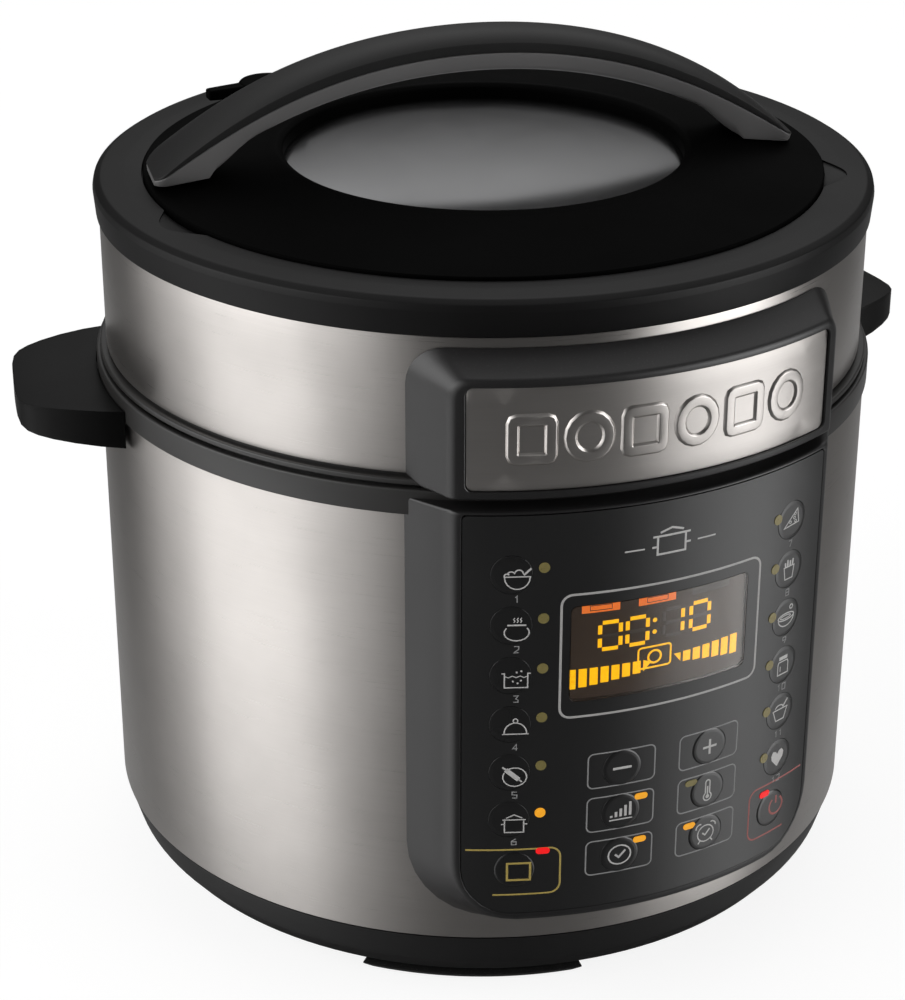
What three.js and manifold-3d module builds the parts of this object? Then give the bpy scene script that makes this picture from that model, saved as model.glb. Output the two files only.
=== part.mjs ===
// Electric pressure cooker: a steel-skinned body with a curved control panel, and a deep
// twist-and-lift lid with an arch handle. Millimetres, +Z up, front towards -Y.
// The origin is on the pot's axis, on the surface that the feet stand on.
import * as THREE from "three";
import { mergeVertices } from "three/addons/utils/BufferGeometryUtils.js";
import Module from "manifold-3d";

const wasm = await Module();
wasm.setup();
const { Manifold } = wasm;

// ---- driving dimensions ----------------------------------------------------------------
const GAP = 0.4; // clearance between parts that touch or pass
const PLAY = 1; // clearance of parts that turn or lift past each other

// Sides of the round parts
const SHELL_SIDES = 48;
const POT_SIDES = 40;
const KNOB_SIDES = 20;
const PIN_SIDES = 10;

// Body, from the floor up
const FOOT_H = 3.6;
const FOOT_INSET = 13.5; // from the skin to the outer edge of the foot pads
const FOOT_W = 19; // radial width of a foot pad
const FOOT_HALF_ANGLE = 18;
const FOOT_TURN = -25; // azimuth of the first foot
const BASE_H = 26.7; // height of the black base below the skin
const BASE_WALL = 2.5;
const REGISTER_H = 9; // the base's collar inside the skin
const VENTS = 8;
const VENT_W = 4;
const VENT_L = 34;
const VENT_R = 66;
const BODY_R = 150.5; // outside of the steel skin
const SKIN_T = 0.8;
const SKIN_H = 175.2;
const BAND_H = 9.7;
const BAND_PROUD = 1.2; // the band stands out this far from the skin
const BAND_WALL = 2.5;

// Side handles
const HANDLE_AZIMUTHS = [-102, 95]; // left and right, from the front
const HANDLE_W = 89; // at the wall
const HANDLE_TIP_W = 62;
const HANDLE_L = 33.9; // from the band to the tip
const HANDLE_T = 15;
const HANDLE_TIP_T = 11;
const HANDLE_WALL = 3;

// Lid shell
const LID_GAP = 1; // daylight between body band and lid
const LIP_H = 2.2;
const SKIRT_H = 51.4;
const SKIRT_STEP = 2.8; // the skirt lies this far inside the skin
const RING_H = 13.6;
const RING_PROUD = 0.5; // the ring's widest edge beyond the skin
const RING_FLAT = 22; // width of the ring's flat top
const RING_WALL = 2.5;
const COVER_RISE = 7.6; // from the ring's top to the opening's lip
const COVER_T = 2.4;
const OPENING_INSET = 49.7; // from the pressure lid's rim to the opening over the dome
const RECESS_REACH = 7.5; // finger recess in the ring beside each handle end
const RECESS_AZIMUTH = 20; // from the handle end to the middle of the recess
const RECESS_HALF_ANGLE = 7;

// Arch handle
const ARCH_TURN = -9.5; // the arch stands this far round from square
const ARCH_INSET = 3.6; // from the cover's edge to the tip of the arch
const ARCH_TOP = 45.6; // crown above the cover's lip
const ARCH_FALL = 47; // from crown to the end of the arch
const ARCH_W = 25; // at the crown
const ARCH_END_W = 33;
const ARCH_DEPTH = 8.2; // height of the lower bar under the cap
const CAP_T = 7.4;
const ARCH_FOOT = 24; // length of the foot at each end

// Pot, pressure lid and bayonet
const POT_R = 111; // outside of the inner pot
const POT_T = 1.4;
const POT_FLOOR_RISE = 23.1; // above the base's upper edge
const POT_RIM_W = 12;
const OUTER_POT_T = 2.2;
const POT_AIR = 5; // space between inner and outer pot
const RIM_PLAY = 8.5; // from the pot's rim to the bayonet wall
const BAYONET_H = 18;
const LUGS = 6;
const LUG_ANGLE = 24;
const LUG_REACH = 3.8;
const LUG_T = 3.2;
const PRESSURE_LID_T = 1.6;
const DOME_DROP = 2.5; // crown of the dome below the opening's lip
const GASKET_W = 15;
const GASKET_H = 6;
const PLATE_T = 1.5;
const PIN_R = 3;

// Valves
const VALVE_AZIMUTH = -146;
const VALVE_INSET = 25; // from the opening's edge to the valves' axes
const VALVE_STEM_R = 4;
const VALVE_PIN_R = 2.5;
const VALVE_KNOB_R = 13;
const VALVE_KNOB_H = 12;
const FLOAT_AZIMUTH = -176;
const FLOAT_R = 3.5;
const FLOAT_FLANGE_R = 6;
const FLOAT_FLANGE_T = 2;
const FLOAT_DROP = 12; // from the dome down to the float valve's flange

// Heater and sensor
const HEATER_INSET = 19; // from the pot's wall to the heater's edge
const HEATER_T = 4;
const SENSOR_R = 15;
const SENSOR_POST_DROP = 12; // the sensor's post ends this far below the outer pot
const SENSOR_NECK_H = 2;
const SPRING_R = 5.5;
const SPRING_WIRE_R = 0.8;
const SPRING_TURNS = 4;

// Control panel and badge
const PANEL_DEPTH = 10.5; // from the skin to the panel's face
const PANEL_HALF_ANGLE = 34.2; // at the skin
const PANEL_FACE_HALF_ANGLE = 27.5;
const PANEL_SILL = 4.7; // above the skin's lower edge
const PANEL_FACE_SILL = 8; // the face starts this much higher
const PANEL_TOP_DROP = 3.1; // below the top of the band
const PANEL_CORNER = 31;
const PANEL_WALL = 2.5;
const WINDOW_HALF_ANGLE = 23.5; // opening in the skin behind the panel
const WINDOW_MARGIN = 25; // from the skin's edges
const OVERLAY_T = 1.1;
const OVERLAY_HALF_ANGLE = 26.3;
const OVERLAY_MARGIN = 1.5; // below the panel's top
const OVERLAY_SILL = 5.5; // above the face's lower edge
const OVERLAY_CORNER = 19;
const FILM_T = 0.4;
const BUTTON_TRAVEL_GAP = 0.55; // between a button and the switch film
const DISPLAY_HALF_ANGLE = 12.6;
const DISPLAY_H = 38;
const DISPLAY_DROP = 36.5; // from the overlay's top
const DISPLAY_CORNER = 2.5;
const BUTTON_R = 7.4;
const BUTTON_T = 1.1;
const PROGRAM_AZIMUTH = 20.2; // the two columns of programme buttons
const PROGRAM_DROP = 22.5; // first row, from the overlay's top
const PROGRAM_PITCH = 19.9;
const PROGRAM_ROWS = 6;
const KEY_AZIMUTHS = [-5.3, 7.6]; // the two columns of function keys
const KEY_DROP = 104.6;
const KEY_PITCH = 18.6;
const POWER_DROP = 143.6; // stop and power keys, from the overlay's top
const POWER_AZIMUTH = 19.4;

const BADGE_HALF_ANGLE = 25.9;
const BADGE_HEAD = 2.2; // from the badge to the face's upper edge
const BADGE_MARGIN = 3.4; // above the badge housing's lower edge
const BADGE_T = 1.4;
const BADGE_CORNER = 2.5;
const BADGE_HOUSING_DROP = 3.6; // below the skirt's upper edge
const BADGE_FACE_FALL = 7.4; // the face ends this far below the housing's top
const BADGE_HOUSING_CORNER = 14;

// Rear fittings
const INLET_W = 30;
const INLET_H = 24;
const INLET_RISE = 22; // above the skin's lower edge
const INLET_DEPTH = 22;
const CUP_HALF_ANGLE = 12;
const CUP_H = 52;
const CUP_DEPTH = 13.5;
const CUP_WALL = 1.6;
const CUP_DROP = 8; // below the skin's upper edge

// Fasteners
const SCREW_R = 1.8;
const SCREW_HEAD_R = 3.8;
const SCREW_L = 12;
const SCREW_INSET = 16; // from the outer pot's wall to the screws
const SCREW_AZIMUTHS = [60, 180, 300];
const POST_R = 5;

// ---- levels and radii that follow from them --------------------------------------------
const FOOT_R = BODY_R - FOOT_INSET;
const BASE_Z = FOOT_H + GAP;
const BASE_TOP = BASE_Z + BASE_H;
const SKIN_Z = BASE_TOP + 2 * GAP;
const SKIN_TOP = SKIN_Z + SKIN_H;
const BAND_Z = SKIN_TOP + GAP;
const BAND_TOP = BAND_Z + BAND_H;
const BAND_R = BODY_R + BAND_PROUD;
const LIP_Z = BAND_TOP + LID_GAP;
const SKIRT_Z = LIP_Z + LIP_H + 1.2;
const SKIRT_TOP = SKIRT_Z + SKIRT_H;
const SKIRT_R = BODY_R - SKIRT_STEP;
const RING_Z = SKIRT_TOP + GAP;
const RING_TOP = RING_Z + RING_H;
const RING_R = BODY_R + RING_PROUD;
const COVER_R = RING_R - RING_FLAT - GAP;
const LIP_TOP = RING_TOP + COVER_RISE; // lip of the round opening
const DOME_TOP = LIP_TOP - DOME_DROP;
const ARCH_HALF_SPAN = COVER_R - ARCH_INSET;

const SHELF_Z = BAND_Z - 1.7; // the inner pot's rim hangs here
const OUTER_POT_R = POT_R + POT_AIR;
const POT_RIM_Z = SHELF_Z + GAP;
const POT_FLOOR_Z = BASE_TOP + POT_FLOOR_RISE;
const HEATER_Z = POT_FLOOR_Z - GAP - HEATER_T;
const OUTER_FLOOR_Z = HEATER_Z - GAP - OUTER_POT_T;
const POST_TOP = OUTER_FLOOR_Z - SENSOR_POST_DROP;
const HEATER_R = POT_R - HEATER_INSET;
const SCREW_PITCH_R = OUTER_POT_R - SCREW_INSET;
const GASKET_Z = POT_RIM_Z + 2 * POT_T + GAP;
const BAYONET_TOP = SHELF_Z + BAYONET_H;
const BAYONET_WALL_R = POT_R + POT_RIM_W + RIM_PLAY;
const LID_RIM_R = BAYONET_WALL_R - LUG_REACH - PLAY;
const LID_LUG_TOP = BAYONET_TOP - LUG_T - PLAY;
const OPENING_R = LID_RIM_R - OPENING_INSET;
const VALVE_PITCH_R = OPENING_R + VALVE_INSET;

const PANEL_REACH = BODY_R + PANEL_DEPTH;
const PANEL_Z = SKIN_Z + PANEL_SILL;
const PANEL_TOP = BAND_TOP - PANEL_TOP_DROP;
const OVERLAY_TOP = PANEL_TOP - OVERLAY_MARGIN;
const OVERLAY_H = OVERLAY_TOP - PANEL_Z - PANEL_FACE_SILL - OVERLAY_SILL;
const FILM_R = PANEL_REACH - OVERLAY_T - FILM_T - GAP;
const POCKET_R = FILM_R - GAP;
const BUTTON_BASE_R = FILM_R + FILM_T + BUTTON_TRAVEL_GAP;
const BADGE_Z = LIP_Z + 0.2;
const BADGE_HOUSING_H = SKIRT_TOP - BADGE_HOUSING_DROP - BADGE_Z;
const BADGE_H = BADGE_HOUSING_H - BADGE_FACE_FALL - BADGE_MARGIN - BADGE_HEAD;

// ---- shaping helpers -------------------------------------------------------------------
const rad = THREE.MathUtils.degToRad;
const lerp = THREE.MathUtils.lerp;

// A closed mesh as a solid that can be joined and cut.
function solid(geometry) {
  const bare = geometry.clone();
  bare.deleteAttribute("normal");
  bare.deleteAttribute("uv");
  const merged = mergeVertices(bare, 1e-4);
  const index = merged.index.array;
  const triangles = [];
  for (let i = 0; i < index.length; i += 3) {
    const [a, b, c] = index.slice(i, i + 3);
    if (a !== b && b !== c && c !== a) triangles.push(a, b, c);
  }
  return new Manifold(
    new wasm.Mesh({
      numProp: 3,
      vertProperties: new Float32Array(merged.attributes.position.array),
      triVerts: new Uint32Array(triangles),
    }),
  );
}

// A solid as a named mesh.
function piece(name, body, finish) {
  const { numProp, vertProperties, triVerts } = body.getMesh();
  const geometry = new THREE.BufferGeometry();
  geometry.setAttribute("position", new THREE.BufferAttribute(vertProperties, numProp));
  geometry.setIndex(new THREE.BufferAttribute(triVerts, 1));
  geometry.computeVertexNormals();
  const mesh = new THREE.Mesh(geometry, finish);
  mesh.name = name;
  return mesh;
}

// A profile of [radius, height] points, anticlockwise, turned about Z.
function turned(profile, segments) {
  const points = profile.map(([r, z]) => new THREE.Vector2(r, z));
  const [first, last] = [points[0], points[points.length - 1]];
  if (first.x > 0 || last.x > 0) points.push(first.clone());
  return solid(new THREE.LatheGeometry(points, segments).rotateX(Math.PI / 2));
}

// A point at an azimuth in degrees (0 is the front, positive towards +X), radius and height.
function polar(azimuth, r, z) {
  return [r * Math.sin(rad(azimuth)), -r * Math.cos(rad(azimuth)), z];
}

// A box whose points are placed by place(u, v, w), each from 0 to 1, to [x, y, z].
function shaped(columns, rows, layers, place) {
  const geometry = new THREE.BoxGeometry(1, 1, 1, columns, rows, layers);
  const p = geometry.attributes.position;
  for (let i = 0; i < p.count; i++) {
    p.setXYZ(i, ...place(p.getX(i) + 0.5, p.getY(i) + 0.5, p.getZ(i) + 0.5));
  }
  return solid(geometry);
}

// Azimuths across a rounded panel, closer together where its corners turn.
function stations(halfAngle, r, corner, middle, turns) {
  const side = [];
  for (let i = 0; i < turns; i++) {
    const inset = corner * (1 - Math.cos((i / turns) * (Math.PI / 2)));
    side.push(halfAngle - THREE.MathUtils.radToDeg(inset / r));
  }
  const inner = halfAngle - THREE.MathUtils.radToDeg(corner / r);
  const flat = [];
  for (let i = 0; i <= middle; i++) flat.push(lerp(inner, -inner, i / middle));
  return [...side, ...flat, ...side.map((a) => -a).reverse()].reverse();
}

// How much a round corner takes off the height, at an azimuth.
function cornerCut(azimuth, halfAngle, r, corner) {
  const inset = Math.max(0, rad(halfAngle - Math.abs(azimuth)) * r);
  if (inset >= corner) return 0;
  return corner - Math.sqrt(corner ** 2 - (corner - inset) ** 2);
}

// A plate bent round the axis between two layers of { r, half, low, high, lowCorner, highCorner }.
function bentPlate(back, front, middle = 8, turns = 4, turn = 0) {
  const corner = Math.max(back.lowCorner ?? 0, back.highCorner ?? 0);
  const azimuths = stations(back.half, back.r, corner, middle, corner ? turns : 0);
  return shaped(azimuths.length - 1, 1, 1, (u, v, w) => {
    const layer = w > 0.5 ? front : back;
    const share = azimuths[Math.round(u * (azimuths.length - 1))] / back.half;
    const azimuth = share * layer.half;
    const low = layer.low + cornerCut(azimuth, layer.half, layer.r, layer.lowCorner ?? 0);
    const high = layer.high - cornerCut(azimuth, layer.half, layer.r, layer.highCorner ?? 0);
    return polar(azimuth + turn, layer.r, lerp(low, high, v));
  });
}

// A plate of even outline: half angle, heights, radii and one corner radius.
function plate(half, low, high, inner, outer, corner = 0, middle = 8, turn = 0) {
  const layer = { half, low, high, lowCorner: corner, highCorner: corner };
  return bentPlate({ ...layer, r: inner }, { ...layer, r: outer }, middle, 3, turn);
}

// The placement that points a piece's own +Z outwards at an azimuth, radius and height.
function facing(azimuth, r, z) {
  return new THREE.Matrix4()
    .makeTranslation(...polar(azimuth, r, z))
    .multiply(new THREE.Matrix4().makeRotationZ(rad(azimuth)))
    .multiply(new THREE.Matrix4().makeRotationX(Math.PI / 2));
}

const moved = (body, matrix) => body.transform(matrix.elements);
const at = (azimuth, r) => new THREE.Matrix4().makeTranslation(...polar(azimuth, r, 0));
const box = (w, d, h, x, y, z) =>
  solid(new THREE.BoxGeometry(w, d, h).translate(x, y, z + h / 2));
const rod = (r, low, high, segments) =>
  turned([[0, low], [r, low], [r, high], [0, high]], segments);

// ---- finishes --------------------------------------------------------------------------
const finish = (color, roughness, metalness = 0) =>
  new THREE.MeshStandardMaterial({ color, roughness, metalness });
const STEEL = finish(0x8e8a86, 0.34, 1);
const DOME_STEEL = finish(0x77777a, 0.22, 1);
const ALUMINIUM = finish(0xa9abad, 0.4, 1);
const SATIN_BLACK = finish(0x1c1b1c, 0.42);
const MATTE_BLACK = finish(0x101010, 0.6);
const GREY_BAND = finish(0x2b2a29, 0.38);
const GLOSS_BLACK = finish(0x17171a, 0.14);
const SMOKED = finish(0x2a211b, 0.08);
const SILICONE = finish(0xc9c6bf, 0.7);
const BOARD = finish(0x2b5a34, 0.6);
const ZINC = finish(0x9a9a98, 0.35, 1);
const FLOAT_RED = finish(0xb03020, 0.5);

// ---- body ------------------------------------------------------------------------------
function baseShell() {
  const top = BASE_TOP;
  const floor = BASE_Z + BASE_WALL;
  const register = BODY_R - SKIN_T - GAP;
  let shell = turned(
    [
      [0, BASE_Z],
      [BODY_R - 16.5, BASE_Z],
      [BODY_R - 9.5, BASE_Z + 6],
      [BODY_R - 4.5, BASE_Z + 12],
      [BODY_R - 0.5, top],
      [register, top],
      [register, top + REGISTER_H],
      [register - BASE_WALL, top + REGISTER_H],
      [register - BASE_WALL, top],
      [BODY_R - 7.5, BASE_Z + 13.5],
      [BODY_R - 17.5, floor],
      [SPRING_R + 3, floor],
      [SPRING_R + 3, POST_TOP],
      [0, POST_TOP],
    ],
    SHELL_SIDES,
  );
  for (const azimuth of SCREW_AZIMUTHS) {
    const hole = rod(SCREW_R + PLAY, BASE_Z - 1, floor + 1, PIN_SIDES);
    shell = shell.subtract(moved(hole, at(azimuth, SCREW_PITCH_R)));
  }
  for (let i = 0; i < VENTS; i++) {
    const slot = box(VENT_W, VENT_L, BASE_WALL + 2, 0, -VENT_R, BASE_Z - 1);
    shell = shell.subtract(slot.rotate([0, 0, (360 / VENTS) * (i + 0.5)]));
  }
  return piece("base_shell", shell, SATIN_BLACK);
}

function foot(i) {
  const pad = plate(FOOT_HALF_ANGLE, 0, FOOT_H, FOOT_R - FOOT_W, FOOT_R, 0, 5);
  const mesh = piece(`foot_${i + 1}`, pad, MATTE_BLACK);
  mesh.rotation.z = rad(FOOT_TURN + 90 * i);
  return mesh;
}

function baseScrew(azimuth, i) {
  const head = BASE_Z - GAP;
  const screw = turned(
    [
      [0, head - 2],
      [SCREW_HEAD_R - 0.8, head - 2],
      [SCREW_HEAD_R, head],
      [SCREW_R, head],
      [SCREW_R, head + SCREW_L],
      [0, head + SCREW_L],
    ],
    PIN_SIDES,
  );
  const mesh = piece(`base_screw_${i + 1}`, screw, ZINC);
  mesh.position.set(...polar(azimuth, SCREW_PITCH_R, 0));
  return mesh;
}

function bodySkin() {
  const inner = BODY_R - SKIN_T;
  const tube = turned(
    [
      [inner, SKIN_Z],
      [BODY_R, SKIN_Z],
      [BODY_R, SKIN_TOP],
      [inner, SKIN_TOP],
    ],
    SHELL_SIDES,
  );
  const windowW = 2 * BODY_R * Math.sin(rad(WINDOW_HALF_ANGLE));
  const windowH = SKIN_H - 2 * WINDOW_MARGIN;
  const window = box(windowW, 50, windowH, 0, -BODY_R, SKIN_Z + WINDOW_MARGIN);
  const inlet = box(INLET_W + 2 * GAP, 40, INLET_H + 2 * GAP, 0, BODY_R, SKIN_Z + INLET_RISE - GAP);
  return piece("body_skin", tube.subtract(window).subtract(inlet), STEEL);
}

function bodyBand() {
  const deck = BAYONET_WALL_R + OUTER_POT_T + GAP;
  const band = turned(
    [
      [deck, BAND_Z + 0.6],
      [BODY_R - 2.5, BAND_Z + 0.6],
      [BODY_R - 2.5, BAND_Z],
      [BAND_R, BAND_Z],
      [BAND_R, BAND_TOP],
      [BAND_R - BAND_WALL, BAND_TOP],
      [BAND_R - BAND_WALL, BAND_Z + 3.1],
      [deck, BAND_Z + 3.1],
    ],
    SHELL_SIDES,
  );
  return piece("body_band", band, GREY_BAND);
}

// Shares of the reach, and the widths there, from the wall to the rounded tip.
function sideHandleOutline(grow) {
  return [
    [0, HANDLE_W / 2],
    [0.55, lerp(HANDLE_W, HANDLE_TIP_W, 0.45) / 2],
    [0.85, lerp(HANDLE_W, HANDLE_TIP_W, 0.85) / 2],
    [0.96, HANDLE_TIP_W / 2 - 3],
    [1, HANDLE_TIP_W / 2 - 9],
  ].map(([share, half]) => [share * HANDLE_L + grow * (share > 0 ? 1 : -1), half + grow]);
}

function sideHandle(name, azimuth) {
  const top = BAND_TOP - 4.6;
  const wall = BAND_R + GAP;
  const block = (grow, low, high, tipLow) => {
    const outline = sideHandleOutline(grow);
    return shaped(8, 1, 4, (u, v, w) => {
      const [out, half] = outline[Math.round(w * 4)];
      const across = (2 * u - 1) * half;
      const round = Math.sqrt(wall ** 2 - across ** 2) - wall;
      const lowHere = lerp(low, tipLow, w);
      const highHere = high - (grow === 0 ? 2 * w ** 3 : 0);
      return [across, -(wall + out + round * (1 - 0.7 * w)), lerp(lowHere, highHere, v)];
    });
  };
  const body = block(0, top - HANDLE_T, top, top - HANDLE_TIP_T);
  const pocketTop = top - HANDLE_WALL - 2;
  const pocket = block(-HANDLE_WALL, top - 2 * HANDLE_T, pocketTop, top - 2 * HANDLE_T);
  const mesh = piece(name, body.subtract(pocket), GREY_BAND);
  mesh.rotation.z = rad(azimuth);
  return mesh;
}

// ---- control panel ---------------------------------------------------------------------
// The keys that can be pressed: name, azimuth and height.
const KEYS = [
  ["minus", KEY_AZIMUTHS[0], 0],
  ["level", KEY_AZIMUTHS[0], 1],
  ["clock", KEY_AZIMUTHS[0], 2],
  ["plus", KEY_AZIMUTHS[1], 0],
  ["temperature", KEY_AZIMUTHS[1], 1],
  ["delay", KEY_AZIMUTHS[1], 2],
].map(([name, azimuth, row]) => [name, azimuth, OVERLAY_TOP - KEY_DROP - row * KEY_PITCH]);
KEYS.push(["stop", -POWER_AZIMUTH, OVERLAY_TOP - POWER_DROP]);
KEYS.push(["power", POWER_AZIMUTH, OVERLAY_TOP - POWER_DROP]);
for (let row = 0; row < PROGRAM_ROWS; row++) {
  const z = OVERLAY_TOP - PROGRAM_DROP - row * PROGRAM_PITCH;
  KEYS.push([`left_${row + 1}`, -PROGRAM_AZIMUTH, z], [`right_${row + 1}`, PROGRAM_AZIMUTH, z]);
}

function panelHousing() {
  const back = {
    r: BODY_R + GAP,
    half: PANEL_HALF_ANGLE,
    low: PANEL_Z,
    high: PANEL_TOP,
    lowCorner: PANEL_CORNER,
  };
  const front = {
    ...back,
    r: PANEL_REACH,
    half: PANEL_FACE_HALF_ANGLE,
    low: PANEL_Z + PANEL_FACE_SILL,
    lowCorner: PANEL_CORNER - 7,
  };
  const inset = THREE.MathUtils.radToDeg(PANEL_WALL / BODY_R) * 1.4;
  const hollow = bentPlate(
    {
      ...back,
      r: BODY_R - 2,
      half: PANEL_HALF_ANGLE - inset,
      low: PANEL_Z + PANEL_WALL,
      high: PANEL_TOP - PANEL_WALL,
      lowCorner: PANEL_CORNER - PANEL_WALL,
    },
    {
      ...front,
      r: POCKET_R - PANEL_WALL,
      half: PANEL_FACE_HALF_ANGLE - inset,
      low: PANEL_Z + PANEL_FACE_SILL + PANEL_WALL,
      high: PANEL_TOP - PANEL_WALL,
      lowCorner: PANEL_CORNER - 7 - PANEL_WALL,
    },
  );
  const band = turned(
    [
      [BODY_R - 9, BAND_Z - GAP],
      [BAND_R + GAP, BAND_Z - GAP],
      [BAND_R + GAP, BAND_TOP + 1],
      [BODY_R - 9, BAND_TOP + 1],
    ],
    SHELL_SIDES,
  );
  const body = bentPlate(back, front)
    .subtract(hollow)
    .subtract(overlayOutline(GAP, POCKET_R, PANEL_REACH + 3))
    .subtract(displayOutline(GAP, BODY_R, PANEL_REACH + 3))
    .subtract(band);
  return piece("panel_housing", body, SATIN_BLACK);
}

function overlayOutline(grow, inner, outer) {
  const layer = {
    half: OVERLAY_HALF_ANGLE + THREE.MathUtils.radToDeg(grow / PANEL_REACH),
    low: OVERLAY_TOP - OVERLAY_H - grow,
    high: OVERLAY_TOP + grow,
    lowCorner: OVERLAY_CORNER + grow,
  };
  return bentPlate({ ...layer, r: inner }, { ...layer, r: outer }, 10, 4);
}

function displayOutline(grow, inner, outer) {
  const half = DISPLAY_HALF_ANGLE + THREE.MathUtils.radToDeg(grow / PANEL_REACH);
  const high = OVERLAY_TOP - DISPLAY_DROP;
  return plate(half, high - DISPLAY_H - grow, high + grow, inner, outer, DISPLAY_CORNER + grow, 6);
}

function controlOverlay() {
  let sheet = overlayOutline(0, PANEL_REACH - OVERLAY_T, PANEL_REACH);
  sheet = sheet.subtract(displayOutline(GAP, PANEL_REACH - 5, PANEL_REACH + 3));
  for (const [, azimuth, z] of KEYS) {
    const hole = rod(BUTTON_R + GAP, -4, 4, PIN_SIDES);
    sheet = sheet.subtract(moved(hole, facing(azimuth, PANEL_REACH, z)));
  }
  return piece("control_overlay", sheet, GLOSS_BLACK);
}

function button([name, azimuth, z]) {
  const mesh = piece(`button_${name}`, rod(BUTTON_R, 0, BUTTON_T, PIN_SIDES), GLOSS_BLACK);
  mesh.applyMatrix4(facing(azimuth, BUTTON_BASE_R, z));
  return mesh;
}

function switchFilm() {
  const film = overlayOutline(0, FILM_R, FILM_R + FILM_T);
  const window = displayOutline(GAP, FILM_R - 2, FILM_R + 2);
  return piece("switch_film", film.subtract(window), BOARD);
}

function displayLens() {
  const lens = displayOutline(0, PANEL_REACH - OVERLAY_T, PANEL_REACH);
  return piece("display_lens", lens, SMOKED);
}

function displayModule() {
  const glass = displayOutline(0, BODY_R + 3.5, PANEL_REACH - OVERLAY_T - GAP);
  const middle = OVERLAY_TOP - DISPLAY_DROP - DISPLAY_H / 2;
  const circuit = plate(20, middle - 45, middle + 32, BODY_R + 2, BODY_R + 3.6, 0, 6);
  return piece("display_module", glass.add(circuit), BOARD);
}

// ---- pots, heater and sensor -----------------------------------------------------------
// A ring of bayonet lugs between two radii, starting at an azimuth.
function lugs(start, inner, outer, low, high) {
  const each = [];
  for (let i = 0; i < LUGS; i++) {
    each.push(plate(LUG_ANGLE / 2, low, high, inner, outer, 0, 3, start + (360 / LUGS) * i));
  }
  return Manifold.union(each);
}

function outerPot() {
  const wall = BAYONET_WALL_R;
  const hole = SENSOR_R + 6;
  let pot = turned(
    [
      [hole, OUTER_FLOOR_Z],
      [OUTER_POT_R + OUTER_POT_T, OUTER_FLOOR_Z],
      [OUTER_POT_R + OUTER_POT_T, SHELF_Z - OUTER_POT_T],
      [wall + OUTER_POT_T, SHELF_Z - OUTER_POT_T],
      [wall + OUTER_POT_T, BAYONET_TOP],
      [wall, BAYONET_TOP],
      [wall, SHELF_Z],
      [OUTER_POT_R, SHELF_Z],
      [OUTER_POT_R, OUTER_FLOOR_Z + OUTER_POT_T],
      [hole, OUTER_FLOOR_Z + OUTER_POT_T],
    ],
    POT_SIDES,
  );
  pot = pot.add(lugs(0, wall - LUG_REACH, wall + 1, BAYONET_TOP - LUG_T, BAYONET_TOP));
  const low = BASE_Z + BASE_WALL + GAP;
  for (const azimuth of SCREW_AZIMUTHS) {
    const post = rod(POST_R, low, OUTER_FLOOR_Z + 1, PIN_SIDES);
    const bore = rod(SCREW_R + GAP, low - 1, low + SCREW_L, PIN_SIDES);
    pot = pot.add(moved(post.subtract(bore), at(azimuth, SCREW_PITCH_R)));
  }
  return piece("outer_pot", pot, ALUMINIUM);
}

function heatingPlate() {
  const hole = SENSOR_R + 3;
  const disc = turned(
    [
      [hole, HEATER_Z],
      [HEATER_R, HEATER_Z],
      [HEATER_R, HEATER_Z + HEATER_T - 1],
      [HEATER_R - 4, HEATER_Z + HEATER_T],
      [hole, HEATER_Z + HEATER_T],
    ],
    POT_SIDES,
  );
  return piece("heating_plate", disc, ALUMINIUM);
}

function temperatureSensor() {
  const top = POT_FLOOR_Z - GAP;
  const sensor = turned(
    [
      [0, OUTER_FLOOR_Z - SENSOR_NECK_H],
      [SPRING_R + 2, OUTER_FLOOR_Z - SENSOR_NECK_H],
      [SENSOR_R, OUTER_FLOOR_Z],
      [SENSOR_R, top - 1],
      [SENSOR_R - 1, top],
      [0, top],
    ],
    KNOB_SIDES,
  );
  return piece("temperature_sensor", sensor, ALUMINIUM);
}

class Helix extends THREE.Curve {
  constructor(r, low, high, turns) {
    super();
    Object.assign(this, { r, low, high, turns });
  }
  getPoint(t, target = new THREE.Vector3()) {
    const a = 2 * Math.PI * this.turns * t;
    return target.set(this.r * Math.cos(a), this.r * Math.sin(a), lerp(this.low, this.high, t));
  }
}

function sensorSpring() {
  const low = POST_TOP + GAP + SPRING_WIRE_R;
  const high = OUTER_FLOOR_Z - SENSOR_NECK_H - GAP - SPRING_WIRE_R;
  const path = new Helix(SPRING_R, low, high, SPRING_TURNS);
  const wire = new THREE.Shape().absarc(0, 0, SPRING_WIRE_R, 0, 2 * Math.PI);
  const geometry = new THREE.ExtrudeGeometry(wire, {
    extrudePath: path,
    steps: SPRING_TURNS * 8,
    curveSegments: 2,
  });
  return piece("sensor_spring", solid(geometry), ZINC);
}

function powerBoard() {
  const z = BASE_Z + BASE_WALL + 4;
  let board = box(96, 56, 1.6, 0, -48, z);
  board = board.add(box(30, 26, 16, -26, -50, z + 1));
  board = board.add(box(18, 15, 13, 14, -56, z + 1));
  board = board.add(box(10, 20, 10, 36, -44, z + 1));
  return piece("power_board", board, BOARD);
}

function innerPot() {
  const bead = POT_RIM_Z + 2 * POT_T;
  const wall = POT_R - POT_T;
  const pot = turned(
    [
      [0, POT_FLOOR_Z],
      [POT_R - 9, POT_FLOOR_Z],
      [POT_R - 2.5, POT_FLOOR_Z + 3],
      [POT_R, POT_FLOOR_Z + 10],
      [POT_R, POT_RIM_Z],
      [POT_R + POT_RIM_W, POT_RIM_Z],
      [POT_R + POT_RIM_W, bead],
      [wall, bead],
      [wall, POT_FLOOR_Z + 10.5],
      [wall - 2.5, POT_FLOOR_Z + 4],
      [POT_R - 10, POT_FLOOR_Z + POT_T],
      [0, POT_FLOOR_Z + POT_T],
    ],
    POT_SIDES,
  );
  return piece("inner_pot", pot, ALUMINIUM);
}

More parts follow.
